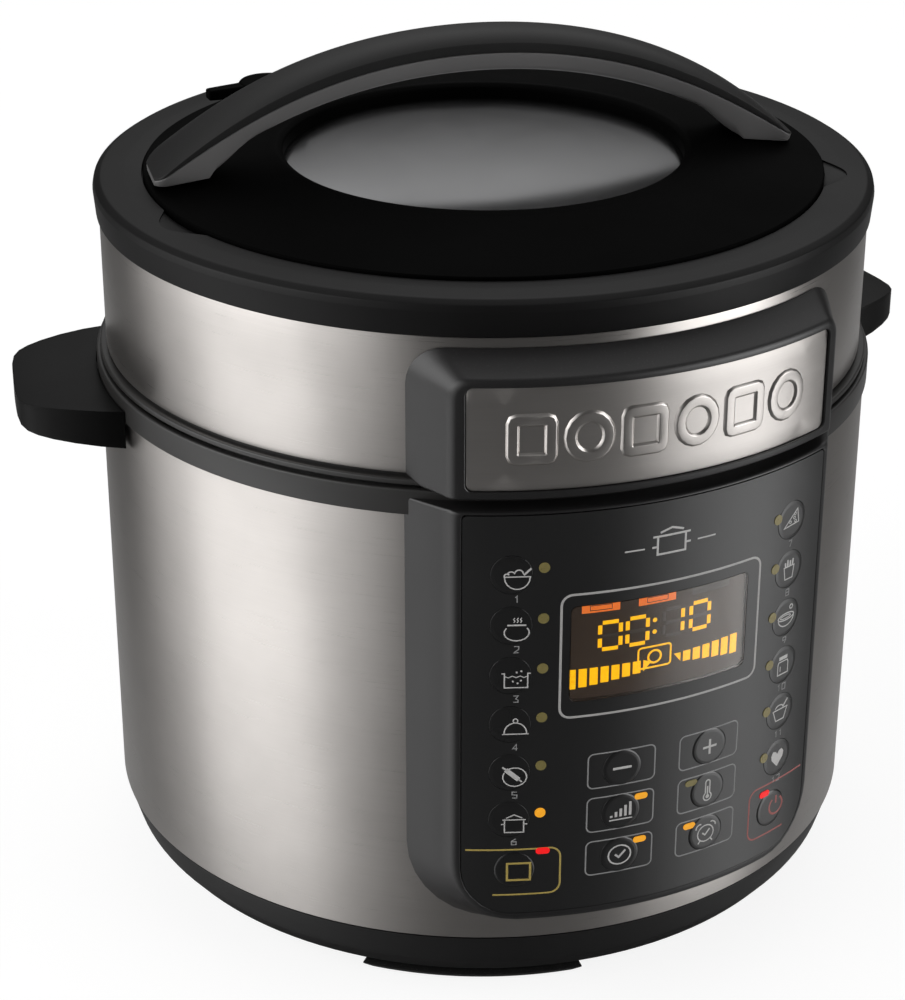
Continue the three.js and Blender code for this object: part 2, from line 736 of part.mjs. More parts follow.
// ---- rear fittings ---------------------------------------------------------------------
function powerInlet() {
  const z = SKIN_Z + INLET_RISE;
  const face = BODY_R + 2.5;
  const socketDepth = 15;
  let inlet = box(INLET_W, INLET_DEPTH, INLET_H, 0, face - INLET_DEPTH / 2, z);
  const flange = box(INLET_W + 10, 2, INLET_H + 10, 0, face - 1, z - 5);
  const socket = box(INLET_W - 6, socketDepth, INLET_H - 7, 0, face - socketDepth / 2 + 0.5, z + 3.5);
  inlet = inlet.add(flange).subtract(socket);
  for (const [x, rise] of [[-7, -2.5], [7, -2.5], [0, 2.5]]) {
    const middle = z + INLET_H / 2 + rise;
    inlet = inlet.add(box(4, 8, 2, x, face - socketDepth + 3.5, middle - 1));
  }
  return piece("power_inlet", inlet, SATIN_BLACK);
}

function condensateCup() {
  const top = SKIN_TOP - CUP_DROP;
  const inner = BODY_R + PLAY;
  const outer = inner + CUP_DEPTH;
  const outside = plate(CUP_HALF_ANGLE, top - CUP_H, top, inner, outer, 0, 6);
  const wallAngle = THREE.MathUtils.radToDeg(CUP_WALL / BODY_R);
  const inside = plate(
    CUP_HALF_ANGLE - wallAngle,
    top - CUP_H + CUP_WALL,
    top + 5,
    inner + CUP_WALL,
    outer - CUP_WALL,
    0,
    6,
  );
  const mesh = piece("condensate_cup", outside.subtract(inside), SMOKED);
  mesh.rotation.z = Math.PI;
  return mesh;
}

// ---- lid shell -------------------------------------------------------------------------
function lipRing() {
  const tongue = SKIRT_R - SKIN_T - GAP;
  const ring = turned(
    [
      [tongue - 8, LIP_Z],
      [BODY_R - 0.2, LIP_Z],
      [BODY_R - 0.2, LIP_Z + LIP_H],
      [tongue, LIP_Z + LIP_H],
      [tongue, SKIRT_Z + 8],
      [tongue - 2, SKIRT_Z + 8],
      [tongue - 2, LIP_Z + LIP_H],
      [tongue - 8, LIP_Z + LIP_H],
    ],
    SHELL_SIDES,
  );
  return piece("lid_lip_ring", ring, GREY_BAND);
}

function lidSkirt() {
  const inner = SKIRT_R - SKIN_T;
  const tube = turned(
    [
      [inner, SKIRT_Z],
      [SKIRT_R, SKIRT_Z],
      [SKIRT_R, SKIRT_TOP],
      [inner, SKIRT_TOP],
    ],
    SHELL_SIDES,
  );
  return piece("lid_skirt", tube, STEEL);
}

// Height of the cover's upper face at a radius.
function coverTop(r) {
  return lerp(LIP_TOP, RING_TOP + 2, (r - OPENING_R) / (COVER_R - OPENING_R));
}

// The lens-shaped finger recess beside a handle end.
function fingerRecess(azimuth) {
  const edge = COVER_R + GAP;
  return shaped(8, 1, 1, (u, v, w) => {
    const reach = RECESS_REACH * Math.sin(Math.PI * lerp(0.04, 0.96, u)) ** 1.3;
    const r = lerp(edge - 3, edge + reach, w);
    return polar(azimuth + (2 * u - 1) * RECESS_HALF_ANGLE, r, lerp(RING_TOP - 1.4, RING_TOP + 3, v));
  });
}

function lidRing() {
  const inner = COVER_R + GAP;
  let ring = turned(
    [
      [inner, RING_TOP - RING_WALL],
      [RING_R - 3.4, RING_TOP - RING_WALL - 0.6],
      [RING_R - RING_WALL, RING_Z],
      [RING_R - 1, RING_Z],
      [RING_R, RING_TOP - 2.6],
      [RING_R - 1.6, RING_TOP - 0.8],
      [inner, RING_TOP],
    ],
    SHELL_SIDES,
  );
  for (const end of [90, -90]) {
    const towardsFront = Math.sign(end) * -RECESS_AZIMUTH;
    ring = ring.subtract(fingerRecess(end + ARCH_TURN + towardsFront));
  }
  return piece("lid_ring", ring, SATIN_BLACK);
}

function lidCover() {
  const edge = RING_TOP + 2;
  let cover = turned(
    [
      [OPENING_R, LIP_TOP - 3.4],
      [OPENING_R + 2, LIP_TOP - 3.4],
      [OPENING_R + 3, LIP_TOP - COVER_T - 0.3],
      [COVER_R - 2, edge - COVER_T - 0.5],
      [COVER_R, edge - COVER_T - 1.4],
      [COVER_R, edge - 1],
      [COVER_R - 1, edge],
      [OPENING_R + 1, LIP_TOP],
      [OPENING_R, LIP_TOP - 0.8],
    ],
    SHELL_SIDES,
  );
  const knobHole = rod(VALVE_KNOB_R + 2, RING_TOP - 10, LIP_TOP + 10, KNOB_SIDES);
  const floatHole = rod(FLOAT_R + 1.5, RING_TOP - 10, LIP_TOP + 10, PIN_SIDES);
  cover = cover
    .subtract(moved(knobHole, at(VALVE_AZIMUTH, VALVE_PITCH_R)))
    .subtract(moved(floatHole, at(FLOAT_AZIMUTH, VALVE_PITCH_R)));
  return piece("lid_cover", cover, MATTE_BLACK);
}

// ---- arch handle -----------------------------------------------------------------------
// Heights along the arch, at a distance from its middle.
const crown = (s) => {
  const q = s / ARCH_HALF_SPAN;
  return LIP_TOP + ARCH_TOP - ARCH_FALL * (0.75 * q ** 2 + 0.25 * q ** 4);
};
const seam = (s) => crown(s) - CAP_T * (1 - 0.85 * Math.abs(s / ARCH_HALF_SPAN) ** 6);
const archHalfWidth = (s) => {
  const q = Math.abs(s / ARCH_HALF_SPAN);
  const width = lerp(ARCH_W, ARCH_END_W, q ** 2);
  const point = Math.max(0, (q - 0.86) / 0.14);
  return (width / 2) * Math.sqrt(1 - 0.8 * point ** 2);
};
const archLow = (s) => {
  const a = Math.abs(s);
  const footStart = ARCH_HALF_SPAN - ARCH_FOOT + 3;
  const onCover = coverTop(Math.min(a, COVER_R)) + GAP;
  if (a >= footStart) return onCover;
  const bar = seam(s) - ARCH_DEPTH;
  const blend = Math.max(0, (a - (footStart - 18)) / 18);
  return lerp(bar, coverTop(footStart) + GAP, blend ** 2);
};

// Stations along half the arch, in shares of the half span.
const ARCH_STATIONS = [0, 0.17, 0.33, 0.48, 0.6, 0.69, 0.76, 0.83, 0.9, 0.95, 0.98, 1];
const ARCH_S = [...ARCH_STATIONS.slice(1).map((q) => -q).reverse(), ...ARCH_STATIONS].map(
  (q) => q * ARCH_HALF_SPAN,
);

function handleArch() {
  const last = ARCH_S.length - 1;
  const bar = shaped(last, 1, 1, (u, v, w) => {
    const s = ARCH_S[Math.round(u * last)];
    const half = archHalfWidth(s);
    return [s, -lerp(-half, half, w), lerp(archLow(s), seam(s) - GAP / 2, v)];
  });
  return piece("handle_arch", bar, MATTE_BLACK);
}

function handleCap() {
  const last = ARCH_S.length - 1;
  const cap = shaped(last, 1, 4, (u, v, w) => {
    const s = ARCH_S[Math.round(u * last)];
    const across = 2 * w - 1;
    const low = seam(s) + GAP / 2;
    const rise = (crown(s) - low) * (1 - 0.55 * Math.abs(across) ** 2.5);
    return [s, -across * archHalfWidth(s), low + v * rise];
  });
  return piece("handle_cap", cap, MATTE_BLACK);
}

// ---- badge on the lid ------------------------------------------------------------------
function badgeOutline(grow, inner, outer) {
  const half = BADGE_HALF_ANGLE + THREE.MathUtils.radToDeg(grow / PANEL_REACH);
  const low = BADGE_Z + BADGE_MARGIN;
  return plate(half, low - grow, low + BADGE_H + grow, inner, outer, BADGE_CORNER + grow);
}

function badgeHousing() {
  const back = {
    r: SKIRT_R + GAP,
    half: PANEL_HALF_ANGLE,
    low: BADGE_Z + LIP_H + GAP,
    high: BADGE_Z + BADGE_HOUSING_H,
    highCorner: BADGE_HOUSING_CORNER,
  };
  const front = {
    ...back,
    r: PANEL_REACH,
    half: PANEL_FACE_HALF_ANGLE,
    low: BADGE_Z,
    high: BADGE_Z + BADGE_HOUSING_H - BADGE_FACE_FALL,
    highCorner: 5,
  };
  const inset = THREE.MathUtils.radToDeg(PANEL_WALL / BODY_R) * 1.4;
  const hollow = bentPlate(
    {
      ...back,
      r: SKIRT_R - 1,
      half: PANEL_HALF_ANGLE - inset,
      low: back.low + PANEL_WALL,
      high: back.high - PANEL_WALL,
      highCorner: BADGE_HOUSING_CORNER - PANEL_WALL,
    },
    {
      ...front,
      r: PANEL_REACH - BADGE_T - GAP - PANEL_WALL,
      half: PANEL_FACE_HALF_ANGLE - inset,
      low: back.low + PANEL_WALL,
      high: front.high - PANEL_WALL,
      highCorner: 3,
    },
  );
  const pocket = badgeOutline(GAP, PANEL_REACH - BADGE_T - GAP, PANEL_REACH + 3);
  const lip = turned(
    [
      [SKIRT_R - 5, LIP_Z - 1],
      [BODY_R + GAP, LIP_Z - 1],
      [BODY_R + GAP, LIP_Z + LIP_H + GAP],
      [SKIRT_R - 5, LIP_Z + LIP_H + GAP],
    ],
    SHELL_SIDES,
  );
  const body = bentPlate(back, front).subtract(hollow).subtract(pocket).subtract(lip);
  return piece("badge_housing", body, SATIN_BLACK);
}

function badgePlate() {
  const badge = badgeOutline(0, PANEL_REACH - BADGE_T, PANEL_REACH);
  return piece("badge_plate", badge, STEEL);
}

// ---- pressure lid and what it carries --------------------------------------------------
// Height of the dome's upper face: a shallow crown that turns down into the rim.
function domeTop(r) {
  const q = r / LID_RIM_R;
  return DOME_TOP - 8 * q ** 2 - 26 * q ** 8;
}

function pressureLid() {
  const rimLow = GASKET_Z + 1;
  const wall = PRESSURE_LID_T;
  const radii = [0, 0.4, 0.7, 0.88, 0.97, 1].map((q) => q * LID_RIM_R);
  const outside = radii.map((r) => [r, domeTop(r)]).reverse();
  const inside = radii.map((r) => [Math.max(0, r - wall * 0.8), domeTop(r) - wall]);
  const pinLow = GASKET_Z + GASKET_H - 1;
  let lid = turned(
    [...inside, [LID_RIM_R - wall, rimLow], [LID_RIM_R, rimLow], ...outside],
    POT_SIDES,
  );
  const lugHigh = LID_LUG_TOP;
  lid = lid.add(
    lugs(180 / LUGS, LID_RIM_R - wall / 2, LID_RIM_R + LUG_REACH, lugHigh - LUG_T, lugHigh),
  );
  lid = lid.add(rod(PIN_R, pinLow, DOME_TOP - wall / 2, PIN_SIDES));
  const valveHole = rod(VALVE_STEM_R + GAP, DOME_TOP - 60, DOME_TOP + 10, PIN_SIDES);
  const floatHole = rod(FLOAT_R + GAP, DOME_TOP - 60, DOME_TOP + 10, PIN_SIDES);
  lid = lid
    .subtract(moved(valveHole, at(VALVE_AZIMUTH, VALVE_PITCH_R)))
    .subtract(moved(floatHole, at(FLOAT_AZIMUTH, VALVE_PITCH_R)));
  return piece("pressure_lid", lid, DOME_STEEL);
}

function valveStem() {
  const under = domeTop(VALVE_PITCH_R) - 12;
  const stem = turned(
    [
      [0, under],
      [VALVE_STEM_R, under],
      [VALVE_STEM_R, domeTop(VALVE_PITCH_R) + 3],
      [VALVE_PIN_R, domeTop(VALVE_PITCH_R) + 4],
      [VALVE_PIN_R, LIP_TOP - 2],
      [0, LIP_TOP - 2],
    ],
    PIN_SIDES,
  );
  const mesh = piece("valve_stem", stem, ZINC);
  mesh.position.set(...polar(VALVE_AZIMUTH, VALVE_PITCH_R, 0));
  return mesh;
}

function valveKnob() {
  const low = LIP_TOP - 6;
  const high = LIP_TOP - 4 + VALVE_KNOB_H;
  let knob = turned(
    [
      [VALVE_PIN_R + GAP, low],
      [VALVE_KNOB_R, low],
      [VALVE_KNOB_R, high - 3],
      [VALVE_KNOB_R - 3, high],
      [0, high],
      [0, LIP_TOP - 2 + GAP],
      [VALVE_PIN_R + GAP, LIP_TOP - 2 + GAP],
    ],
    KNOB_SIDES,
  );
  const tab = box(7, 20, 5, 0, -VALVE_KNOB_R - 3, high - 5.5);
  knob = knob.add(tab);
  const mesh = piece("valve_knob", knob, MATTE_BLACK);
  mesh.position.set(...polar(VALVE_AZIMUTH, VALVE_PITCH_R, 0));
  mesh.rotation.z = rad(VALVE_AZIMUTH + 55);
  return mesh;
}

function floatValve() {
  const flange = domeTop(VALVE_PITCH_R) - FLOAT_DROP;
  const valve = turned(
    [
      [0, flange - FLOAT_FLANGE_T],
      [FLOAT_FLANGE_R, flange - FLOAT_FLANGE_T],
      [FLOAT_FLANGE_R, flange],
      [FLOAT_R, flange],
      [FLOAT_R, coverTop(VALVE_PITCH_R) - 1],
      [FLOAT_R - 1, coverTop(VALVE_PITCH_R)],
      [0, coverTop(VALVE_PITCH_R)],
    ],
    PIN_SIDES,
  );
  const mesh = piece("float_valve", valve, FLOAT_RED);
  mesh.position.set(...polar(FLOAT_AZIMUTH, VALVE_PITCH_R, 0));
  return mesh;
}

function innerLidPlate() {
  const r = POT_R + POT_RIM_W - GASKET_W - GAP;
  const z = GASKET_Z + GASKET_H / 2;
  const plateDisc = turned(
    [
      [PIN_R + PLAY, z - 2],
      [r - 14, z - 2],
      [r, z],
      [r, z + PLATE_T],
      [r - 14, z - 2 + PLATE_T],
      [PIN_R + PLAY, z - 2 + PLATE_T],
    ],
    POT_SIDES,
  );
  return piece("inner_lid_plate", plateDisc, ALUMINIUM);
}

function sealingGasket() {
  const outer = POT_R + POT_RIM_W;
  const inner = outer - GASKET_W;
  const gasket = turned(
    [
      [inner, GASKET_Z],
      [outer, GASKET_Z],
      [outer, GASKET_Z + GASKET_H - 1.5],
      [outer - 1.5, GASKET_Z + GASKET_H],
      [inner, GASKET_Z + GASKET_H],
    ],
    POT_SIDES,
  );
  return piece("sealing_gasket", gasket, SILICONE);
}

function plateGrommet() {
  const z = GASKET_Z + GASKET_H / 2 - 2 - GAP;
  const grommet = turned(
    [
      [0, z - 5],
      [8, z - 5],
      [9, z - 3],
      [9, z],
      [0, z],
    ],
    KNOB_SIDES,
  );
  return piece("plate_grommet", grommet, SILICONE);
}

// ---- assembly --------------------------------------------------------------------------
const cooker = new THREE.Group();

const body = new THREE.Group();
body.add(baseShell(), bodySkin(), bodyBand());
for (let i = 0; i < 4; i++) body.add(foot(i));
SCREW_AZIMUTHS.forEach((azimuth, i) => body.add(baseScrew(azimuth, i)));
body.add(
  sideHandle("side_handle_left", HANDLE_AZIMUTHS[0]),
  sideHandle("side_handle_right", HANDLE_AZIMUTHS[1]),
);
body.add(panelHousing(), controlOverlay(), switchFilm(), displayLens(), displayModule());
body.add(outerPot(), heatingPlate(), temperatureSensor(), sensorSpring(), powerBoard());
body.add(powerInlet(), condensateCup(), innerPot());
for (const key of KEYS) body.add(button(key));

const lid = new THREE.Group();
lid.add(lipRing(), lidSkirt(), lidRing(), lidCover(), badgeHousing(), badgePlate());
lid.add(pressureLid(), valveStem(), valveKnob(), floatValve());
lid.add(innerLidPlate(), sealingGasket(), plateGrommet());

const arch = new THREE.Group();
arch.rotation.z = rad(ARCH_TURN);
arch.add(handleArch(), handleCap());
lid.add(arch);

cooker.add(body, lid);

export default cooker;
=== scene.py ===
# Electric pressure cooker: the visible model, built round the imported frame.
# Lengths in this file are millimetres and angles are degrees, unless a name says otherwise.
# Azimuth 0 is the front (-Y) and grows towards +X; heights are above the surface it stands on.
import math

import bmesh
import bpy
from mathutils import Matrix, Vector


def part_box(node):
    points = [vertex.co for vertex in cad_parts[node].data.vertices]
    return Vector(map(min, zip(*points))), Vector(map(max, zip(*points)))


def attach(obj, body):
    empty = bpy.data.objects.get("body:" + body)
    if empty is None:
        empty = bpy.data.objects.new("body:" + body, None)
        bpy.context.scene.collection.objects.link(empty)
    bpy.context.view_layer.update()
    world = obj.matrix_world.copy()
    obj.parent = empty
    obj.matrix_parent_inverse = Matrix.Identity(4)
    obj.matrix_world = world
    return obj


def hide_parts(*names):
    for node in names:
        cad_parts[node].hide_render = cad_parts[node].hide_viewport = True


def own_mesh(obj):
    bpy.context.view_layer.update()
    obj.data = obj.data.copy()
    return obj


bl_info = {
    "name": "Electric Pressure Cooker",
    "version": (1, 0, 0),
    "blender": (4, 5, 0),
    "location": "3D View > Sidebar > Cooker",
    "description": "Builds the visible pieces of an electric pressure cooker and its studio",
    "category": "Object",
}

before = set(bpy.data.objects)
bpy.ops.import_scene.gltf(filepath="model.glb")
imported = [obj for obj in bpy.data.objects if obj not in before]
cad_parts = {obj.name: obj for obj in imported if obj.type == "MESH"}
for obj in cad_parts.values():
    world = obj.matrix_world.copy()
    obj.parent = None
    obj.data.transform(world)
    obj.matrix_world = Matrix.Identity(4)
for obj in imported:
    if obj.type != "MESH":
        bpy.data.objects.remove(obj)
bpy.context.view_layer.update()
MM = 0.001


def corners(node):
    """Lowest and highest corner of a node, in millimetres."""
    low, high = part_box(node)
    return low / MM, high / MM


# ---- levels and radii of the frame -------------------------------------------------------
SKIN_LOW, SKIN_HIGH = corners("body_skin")
SKIN_R = SKIN_HIGH.x
BAND_LOW, BAND_HIGH = corners("body_band")
LIP_LOW, LIP_HIGH = corners("lid_lip_ring")
SKIRT_LOW, SKIRT_HIGH = corners("lid_skirt")
RING_LOW, RING_HIGH = corners("lid_ring")
COVER_HIGH = corners("lid_cover")[1]
DOME_LOW, DOME_HIGH = corners("pressure_lid")
BASE_LOW, BASE_HIGH = corners("base_shell")
FOOT_HIGH = corners("foot_1")[1]
POT_LOW, POT_HIGH = corners("inner_pot")
OUTER_HIGH = corners("outer_pot")[1]
HEATER_LOW, HEATER_HIGH = corners("heating_plate")
SENSOR_LOW, SENSOR_HIGH = corners("temperature_sensor")
PANEL_LOW, PANEL_HIGH = corners("panel_housing")
OVERLAY_LOW, OVERLAY_HIGH = corners("control_overlay")
LENS_LOW, LENS_HIGH = corners("display_lens")
BADGE_LOW, BADGE_HIGH = corners("badge_plate")
CROWN_LOW, CROWN_HIGH = corners("badge_housing")
CAP_HIGH = corners("handle_cap")[1]
INLET_LOW, INLET_HIGH = corners("power_inlet")
CUP_LOW, CUP_HIGH = corners("condensate_cup")
HANDLE_HIGH = corners("side_handle_right")[1]
GASKET_LOW, GASKET_HIGH = corners("sealing_gasket")
PLATE_HIGH = corners("inner_lid_plate")[1]
GROMMET_LOW, GROMMET_HIGH = corners("plate_grommet")

FACE_R = -OVERLAY_LOW.y  # radius of the panel's face
LIP_TOP = COVER_HIGH.z


def half_angle(width, radius):
    """Half the angle that a width spans at a radius."""
    return math.degrees(math.asin(width / radius))


HOUSING_HALF = half_angle(PANEL_HIGH.x, SKIN_R + 0.4)
OVERLAY_HALF = half_angle(OVERLAY_HIGH.x, FACE_R)
LENS_HALF = half_angle(LENS_HIGH.x, FACE_R)
BADGE_HALF = half_angle(BADGE_HIGH.x, FACE_R)


# ---- what a user can change --------------------------------------------------------------
def colour(name, description, *rgb):
    return bpy.props.FloatVectorProperty(
        name=name, description=description, subtype="COLOR", size=3, min=0, max=1, default=rgb
    )


def length(name, description, millimetres):
    return bpy.props.FloatProperty(
        name=name, description=description, unit="LENGTH", default=millimetres * MM
    )


class CookerShape(bpy.types.PropertyGroup):
    face_half: bpy.props.FloatProperty(
        name="Housing face", description="Half the angle that the housings' face spans", default=27.3
    )
    face_sill: length("Face sill", "The panel's face starts this far above its foot", 4)
    foot_rise: length("Housing foot", "The panel housing's foot lies this far above its frame part", 6)
    face_fall: length("Face fall", "The badge housing's face ends this far below its top", 7.4)
    opening_r: length("Opening", "Radius of the lid cover's round opening", 77)
    arch_turn: bpy.props.FloatProperty(
        name="Arch turn", description="The arch handle stands this far round from square", default=-9.5
    )
    arch_w: length("Arch width", "Width of the arch handle at its crown", 25)
    arch_end_w: length("Arch end width", "Width of the arch handle at its feet", 33)
    arch_fall: length("Arch fall", "The arch's ends lie this far below its crown", 47)
    cap_t: length("Cap thickness", "Thickness of the arch's soft cap", 7.4)
    bar_t: length("Bar thickness", "Thickness of the bar under the cap", 8.2)
    relief: length("Badge relief", "Height of the badge's embossing", 0.9)


class CookerColours(bpy.types.PropertyGroup):
    steel: colour("Steel", "Brushed steel of the skins", 0.50, 0.475, 0.455)
    dome: colour("Dome", "Satin steel dome", 0.34, 0.34, 0.345)
    black: colour("Black plastic", "Satin black housings and ring", 0.011, 0.0105, 0.0108)
    cover: colour("Cover", "Matte black lid cover", 0.0009, 0.0009, 0.0009)
    band: colour("Band", "Charcoal band and handles", 0.022, 0.0212, 0.0205)
    # The arch bar's painted light grey is this colour made 15 times lighter.
    cap: colour("Soft cap", "Soft-touch cap of the arch", 0.010, 0.0098, 0.0098)
    overlay: colour("Overlay", "Printed film over the keys", 0.0045, 0.0044, 0.0046)
    amber: colour("Amber", "Lit lamps", 0.80, 0.34, 0.015)
    red: colour("Red lamp", "Lit red lamps", 1.0, 0.008, 0.01)


SETTINGS = (CookerShape, CookerColours)


def shape(name):
    """A size of the shape settings in millimetres, or an angle as it is."""
    value = getattr(bpy.context.scene.cooker_shape, name)
    return value if name in ("face_half", "arch_turn") else value / MM


def tint(name):
    return (*getattr(bpy.context.scene.cooker_colours, name), 1.0)


# ---- outlines ----------------------------------------------------------------------------
def polar(azimuth, r, z):
    a = math.radians(azimuth)
    return (r * math.sin(a), -r * math.cos(a), z)


def lerp(a, b, t):
    return a + (b - a) * t


def rounded(points, steps=4):
    """An outline of (x, y) or (x, y, fillet) points with those fillets drawn."""
    flat = [Vector(p[:2]) for p in points]
    out = []
    for i, point in enumerate(points):
        here = flat[i]
        if len(point) < 3:
            out.append(tuple(here))
            continue
        before = flat[i - 1] - here
        after = flat[(i + 1) % len(flat)] - here
        reach = point[2] / math.tan(before.angle(after) / 2)
        reach = min(reach, before.length * 0.49, after.length * 0.49)
        a, b = here + before.normalized() * reach, here + after.normalized() * reach
        for k in range(steps + 1):
            t = k / steps
            out.append(tuple(a * (1 - t) ** 2 + here * 2 * t * (1 - t) + b * t * t))
    return out


def bent_outline(half, low, high, r, low_corner, high_corner, centre=0.0, turns=7, top=36, side=10):
    """A loop round a rounded rectangle that is bent round the axis."""
    width = math.radians(half) * r
    flat = []

    def corner(x, z, radius, start):
        for k in range(turns + 1):
            a = math.radians(start + 90 * k / turns)
            flat.append((x + radius * math.cos(a), z + radius * math.sin(a)))

    def run(count):
        flat.extend([None] * (count - 1))

    corner(-width + low_corner, low + low_corner, low_corner, 180)
    run(top)
    corner(width - low_corner, low + low_corner, low_corner, 270)
    run(side)
    corner(width - high_corner, high - high_corner, high_corner, 0)
    run(top)
    corner(-width + high_corner, high - high_corner, high_corner, 90)
    run(side)
    for i, point in enumerate(flat):
        if point is None:
            last = i - 1
            after = next(j for j in range(i, i + len(flat)) if flat[j % len(flat)] is not None)
            for k in range(i, after):
                t = (k - last) / (after - last)
                a, b = flat[last], flat[after % len(flat)]
                flat[k] = (lerp(a[0], b[0], t), lerp(a[1], b[1], t))
    return [polar(centre + math.degrees(x / r), r, z) for x, z in flat]


# ---- solids ------------------------------------------------------------------------------
def turned(profile, sides=160):
    """A closed outline of (radius, height), turned round the axis."""
    points, faces = [], []
    n = len(profile)
    for i in range(sides):
        points += [polar(360 * i / sides, r, z) for r, z in profile]
    for i in range(sides):
        j = (i + 1) % sides
        for k in range(n):
            m = (k + 1) % n
            faces.append((i * n + k, i * n + m, j * n + m, j * n + k))
    return points, faces


def lofted(loops, ring=False, capped=True):
    """Loops of equal length joined by quads; a ring closes on its first loop."""
    n = len(loops[0])
    points = [p for loop in loops for p in loop]
    faces = []
    for i in range(len(loops) if ring else len(loops) - 1):
        j = (i + 1) % len(loops)
        for k in range(n):
            m = (k + 1) % n
            faces.append((i * n + k, i * n + m, j * n + m, j * n + k))
    if capped and not ring:
        faces += [tuple(range(n)), tuple(range(len(points) - 1, len(points) - 1 - n, -1))]
    return points, faces


def shaped(columns, rows, layers, place):
    """The skin of a box whose points place(u, v, w) puts, each from 0 to 1."""
    points, faces = [], []
    sides = (
        (columns, rows, lambda p, q: (p, q, 0)),
        (columns, rows, lambda p, q: (p, q, 1)),
        (columns, layers, lambda p, q: (p, 0, q)),
        (columns, layers, lambda p, q: (p, 1, q)),
        (rows, layers, lambda p, q: (0, p, q)),
        (rows, layers, lambda p, q: (1, p, q)),
    )
    for across, up, spot in sides:
        start = len(points)
        for i in range(across + 1):
            points += [place(*spot(i / across, j / up)) for j in range(up + 1)]
        for i in range(across):
            for j in range(up):
                a = start + i * (up + 1) + j
                faces.append((a, a + 1, a + up + 2, a + up + 1))
    return points, faces


def bent_plate(half, low, high, inner, outer, corner=0.0, top_corner=None, centre=0.0, columns=48, rows=12):
    """A plate with round corners, bent round the axis."""
    turns = 8 if corner else 0
    reach = math.degrees(corner / outer)
    side = [half - reach * (1 - math.cos(math.pi / 2 * i / turns)) for i in range(turns)]
    middle = [lerp(half - reach, reach - half, i / columns) for i in range(columns + 1)]
    stations = [*side, *middle, *[-a for a in reversed(side)]]
    last = len(stations) - 1
    top_corner = corner if top_corner is None else top_corner

    def taken(azimuth, radius):
        fall = max(0.0, radius - math.radians(half - abs(azimuth)) * outer)
        return radius - math.sqrt(max(0.0, radius**2 - fall**2))

    def place(u, v, w):
        azimuth = stations[round(u * last)]
        bottom, top = low + taken(azimuth, corner), high - taken(azimuth, top_corner)
        return polar(centre + azimuth, lerp(inner, outer, w), lerp(bottom, top, v))

    return shaped(last, rows, 1, place)


def block(low, high):
    """A plain box between two corners, for cutting."""
    spot = [(x, y, z) for x in (low[0], high[0]) for y in (low[1], high[1]) for z in (low[2], high[2])]
    return spot, [(0, 1, 3, 2), (4, 6, 7, 5), (0, 4, 5, 1), (2, 3, 7, 6), (0, 2, 6, 4), (1, 5, 7, 3)]


def moved(solid, matrix):
    points, faces = solid
    return [tuple(matrix @ Vector(p)) for p in points], faces


def joined(*solids):
    points, faces = [], []
    for more_points, more_faces in solids:
        start = len(points)
        points += more_points
        faces += [tuple(i + start for i in face) for face in more_faces]
    return points, faces


def facing(azimuth, r, z):
    """Points a solid's own +Z outwards at a place on the wall."""
    return (
        Matrix.Translation(polar(azimuth, r, z))
        @ Matrix.Rotation(math.radians(azimuth), 4, "Z")
        @ Matrix.Rotation(math.radians(90), 4, "X")
    )


def rod(r, low, high, sides=32):
    return turned([(0, low), (r, low), (r, high), (0, high)], sides)


# ---- pieces ------------------------------------------------------------------------------
def mesh_of(solid, name):
    points, faces = solid
    mesh = bpy.data.meshes.new(name)
    mesh.from_pydata([[c * MM for c in p] for p in points], [], faces)
    bm = bmesh.new()
    bm.from_mesh(mesh)
    bmesh.ops.remove_doubles(bm, verts=bm.verts, dist=1e-6)
    bmesh.ops.dissolve_degenerate(bm, edges=bm.edges, dist=1e-7)
    bmesh.ops.recalc_face_normals(bm, faces=bm.faces)
    bm.to_mesh(mesh)
    bm.free()
    return mesh


def piece(name, solid, material, body, stands_for=(), cut=None, bevel=0.0, sharp=32):
    """A finished piece: cut, edges rounded, shaded, given its material, and riding on its body."""
    made = bpy.data.objects.new(name, mesh_of(solid, name))
    bpy.context.scene.collection.objects.link(made)
    if cut:
        cutter = bpy.data.objects.new(name + "_cutter", mesh_of(cut, name + "_cutter"))
        bpy.context.scene.collection.objects.link(cutter)
        boolean = made.modifiers.new("cut", "BOOLEAN")
        boolean.object, boolean.operation, boolean.solver = cutter, "DIFFERENCE", "EXACT"
        apply_modifiers(made)
        bpy.data.objects.remove(cutter)
    if bevel:
        edge = made.modifiers.new("edges", "BEVEL")
        edge.width, edge.segments, edge.limit_method = bevel * MM, 3, "ANGLE"
        edge.angle_limit = math.radians(sharp)
        apply_modifiers(made)
    made.data.shade_smooth()
    made.data.set_sharp_from_angle(angle=math.radians(sharp))
    dress(made, material, body, stands_for)
    return made


def apply_modifiers(made):
    graph = bpy.context.evaluated_depsgraph_get()
    baked = bpy.data.meshes.new_from_object(made.evaluated_get(graph))
    made.modifiers.clear()
    old, made.data = made.data, baked
    bpy.data.meshes.remove(old)


def dress(made, material, body, stands_for):
    made.data.materials.clear()
    made.data.materials.append(material)
    if stands_for:
        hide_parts(*stands_for)
    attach(made, body)


def radial_normals(made, r):
    """Shades the face of a bent plate as the true cylinder that it is."""
    mesh = made.data
    normals = []
    for loop in mesh.loops:
        point = mesh.vertices[loop.vertex_index].co
        normals.append(Vector((point.x, point.y, 0)).normalized())
    faces = {}
    for polygon in mesh.polygons:
        centre = Vector((polygon.center.x, polygon.center.y, 0))
        radial = abs(polygon.normal.dot(centre.normalized())) > 0.98 and centre.length > (r - 0.4) * MM
        for index in polygon.loop_indices:
            faces[index] = normals[index] if radial else polygon.normal
    mesh.normals_split_custom_set([faces[i] for i in range(len(mesh.loops))])


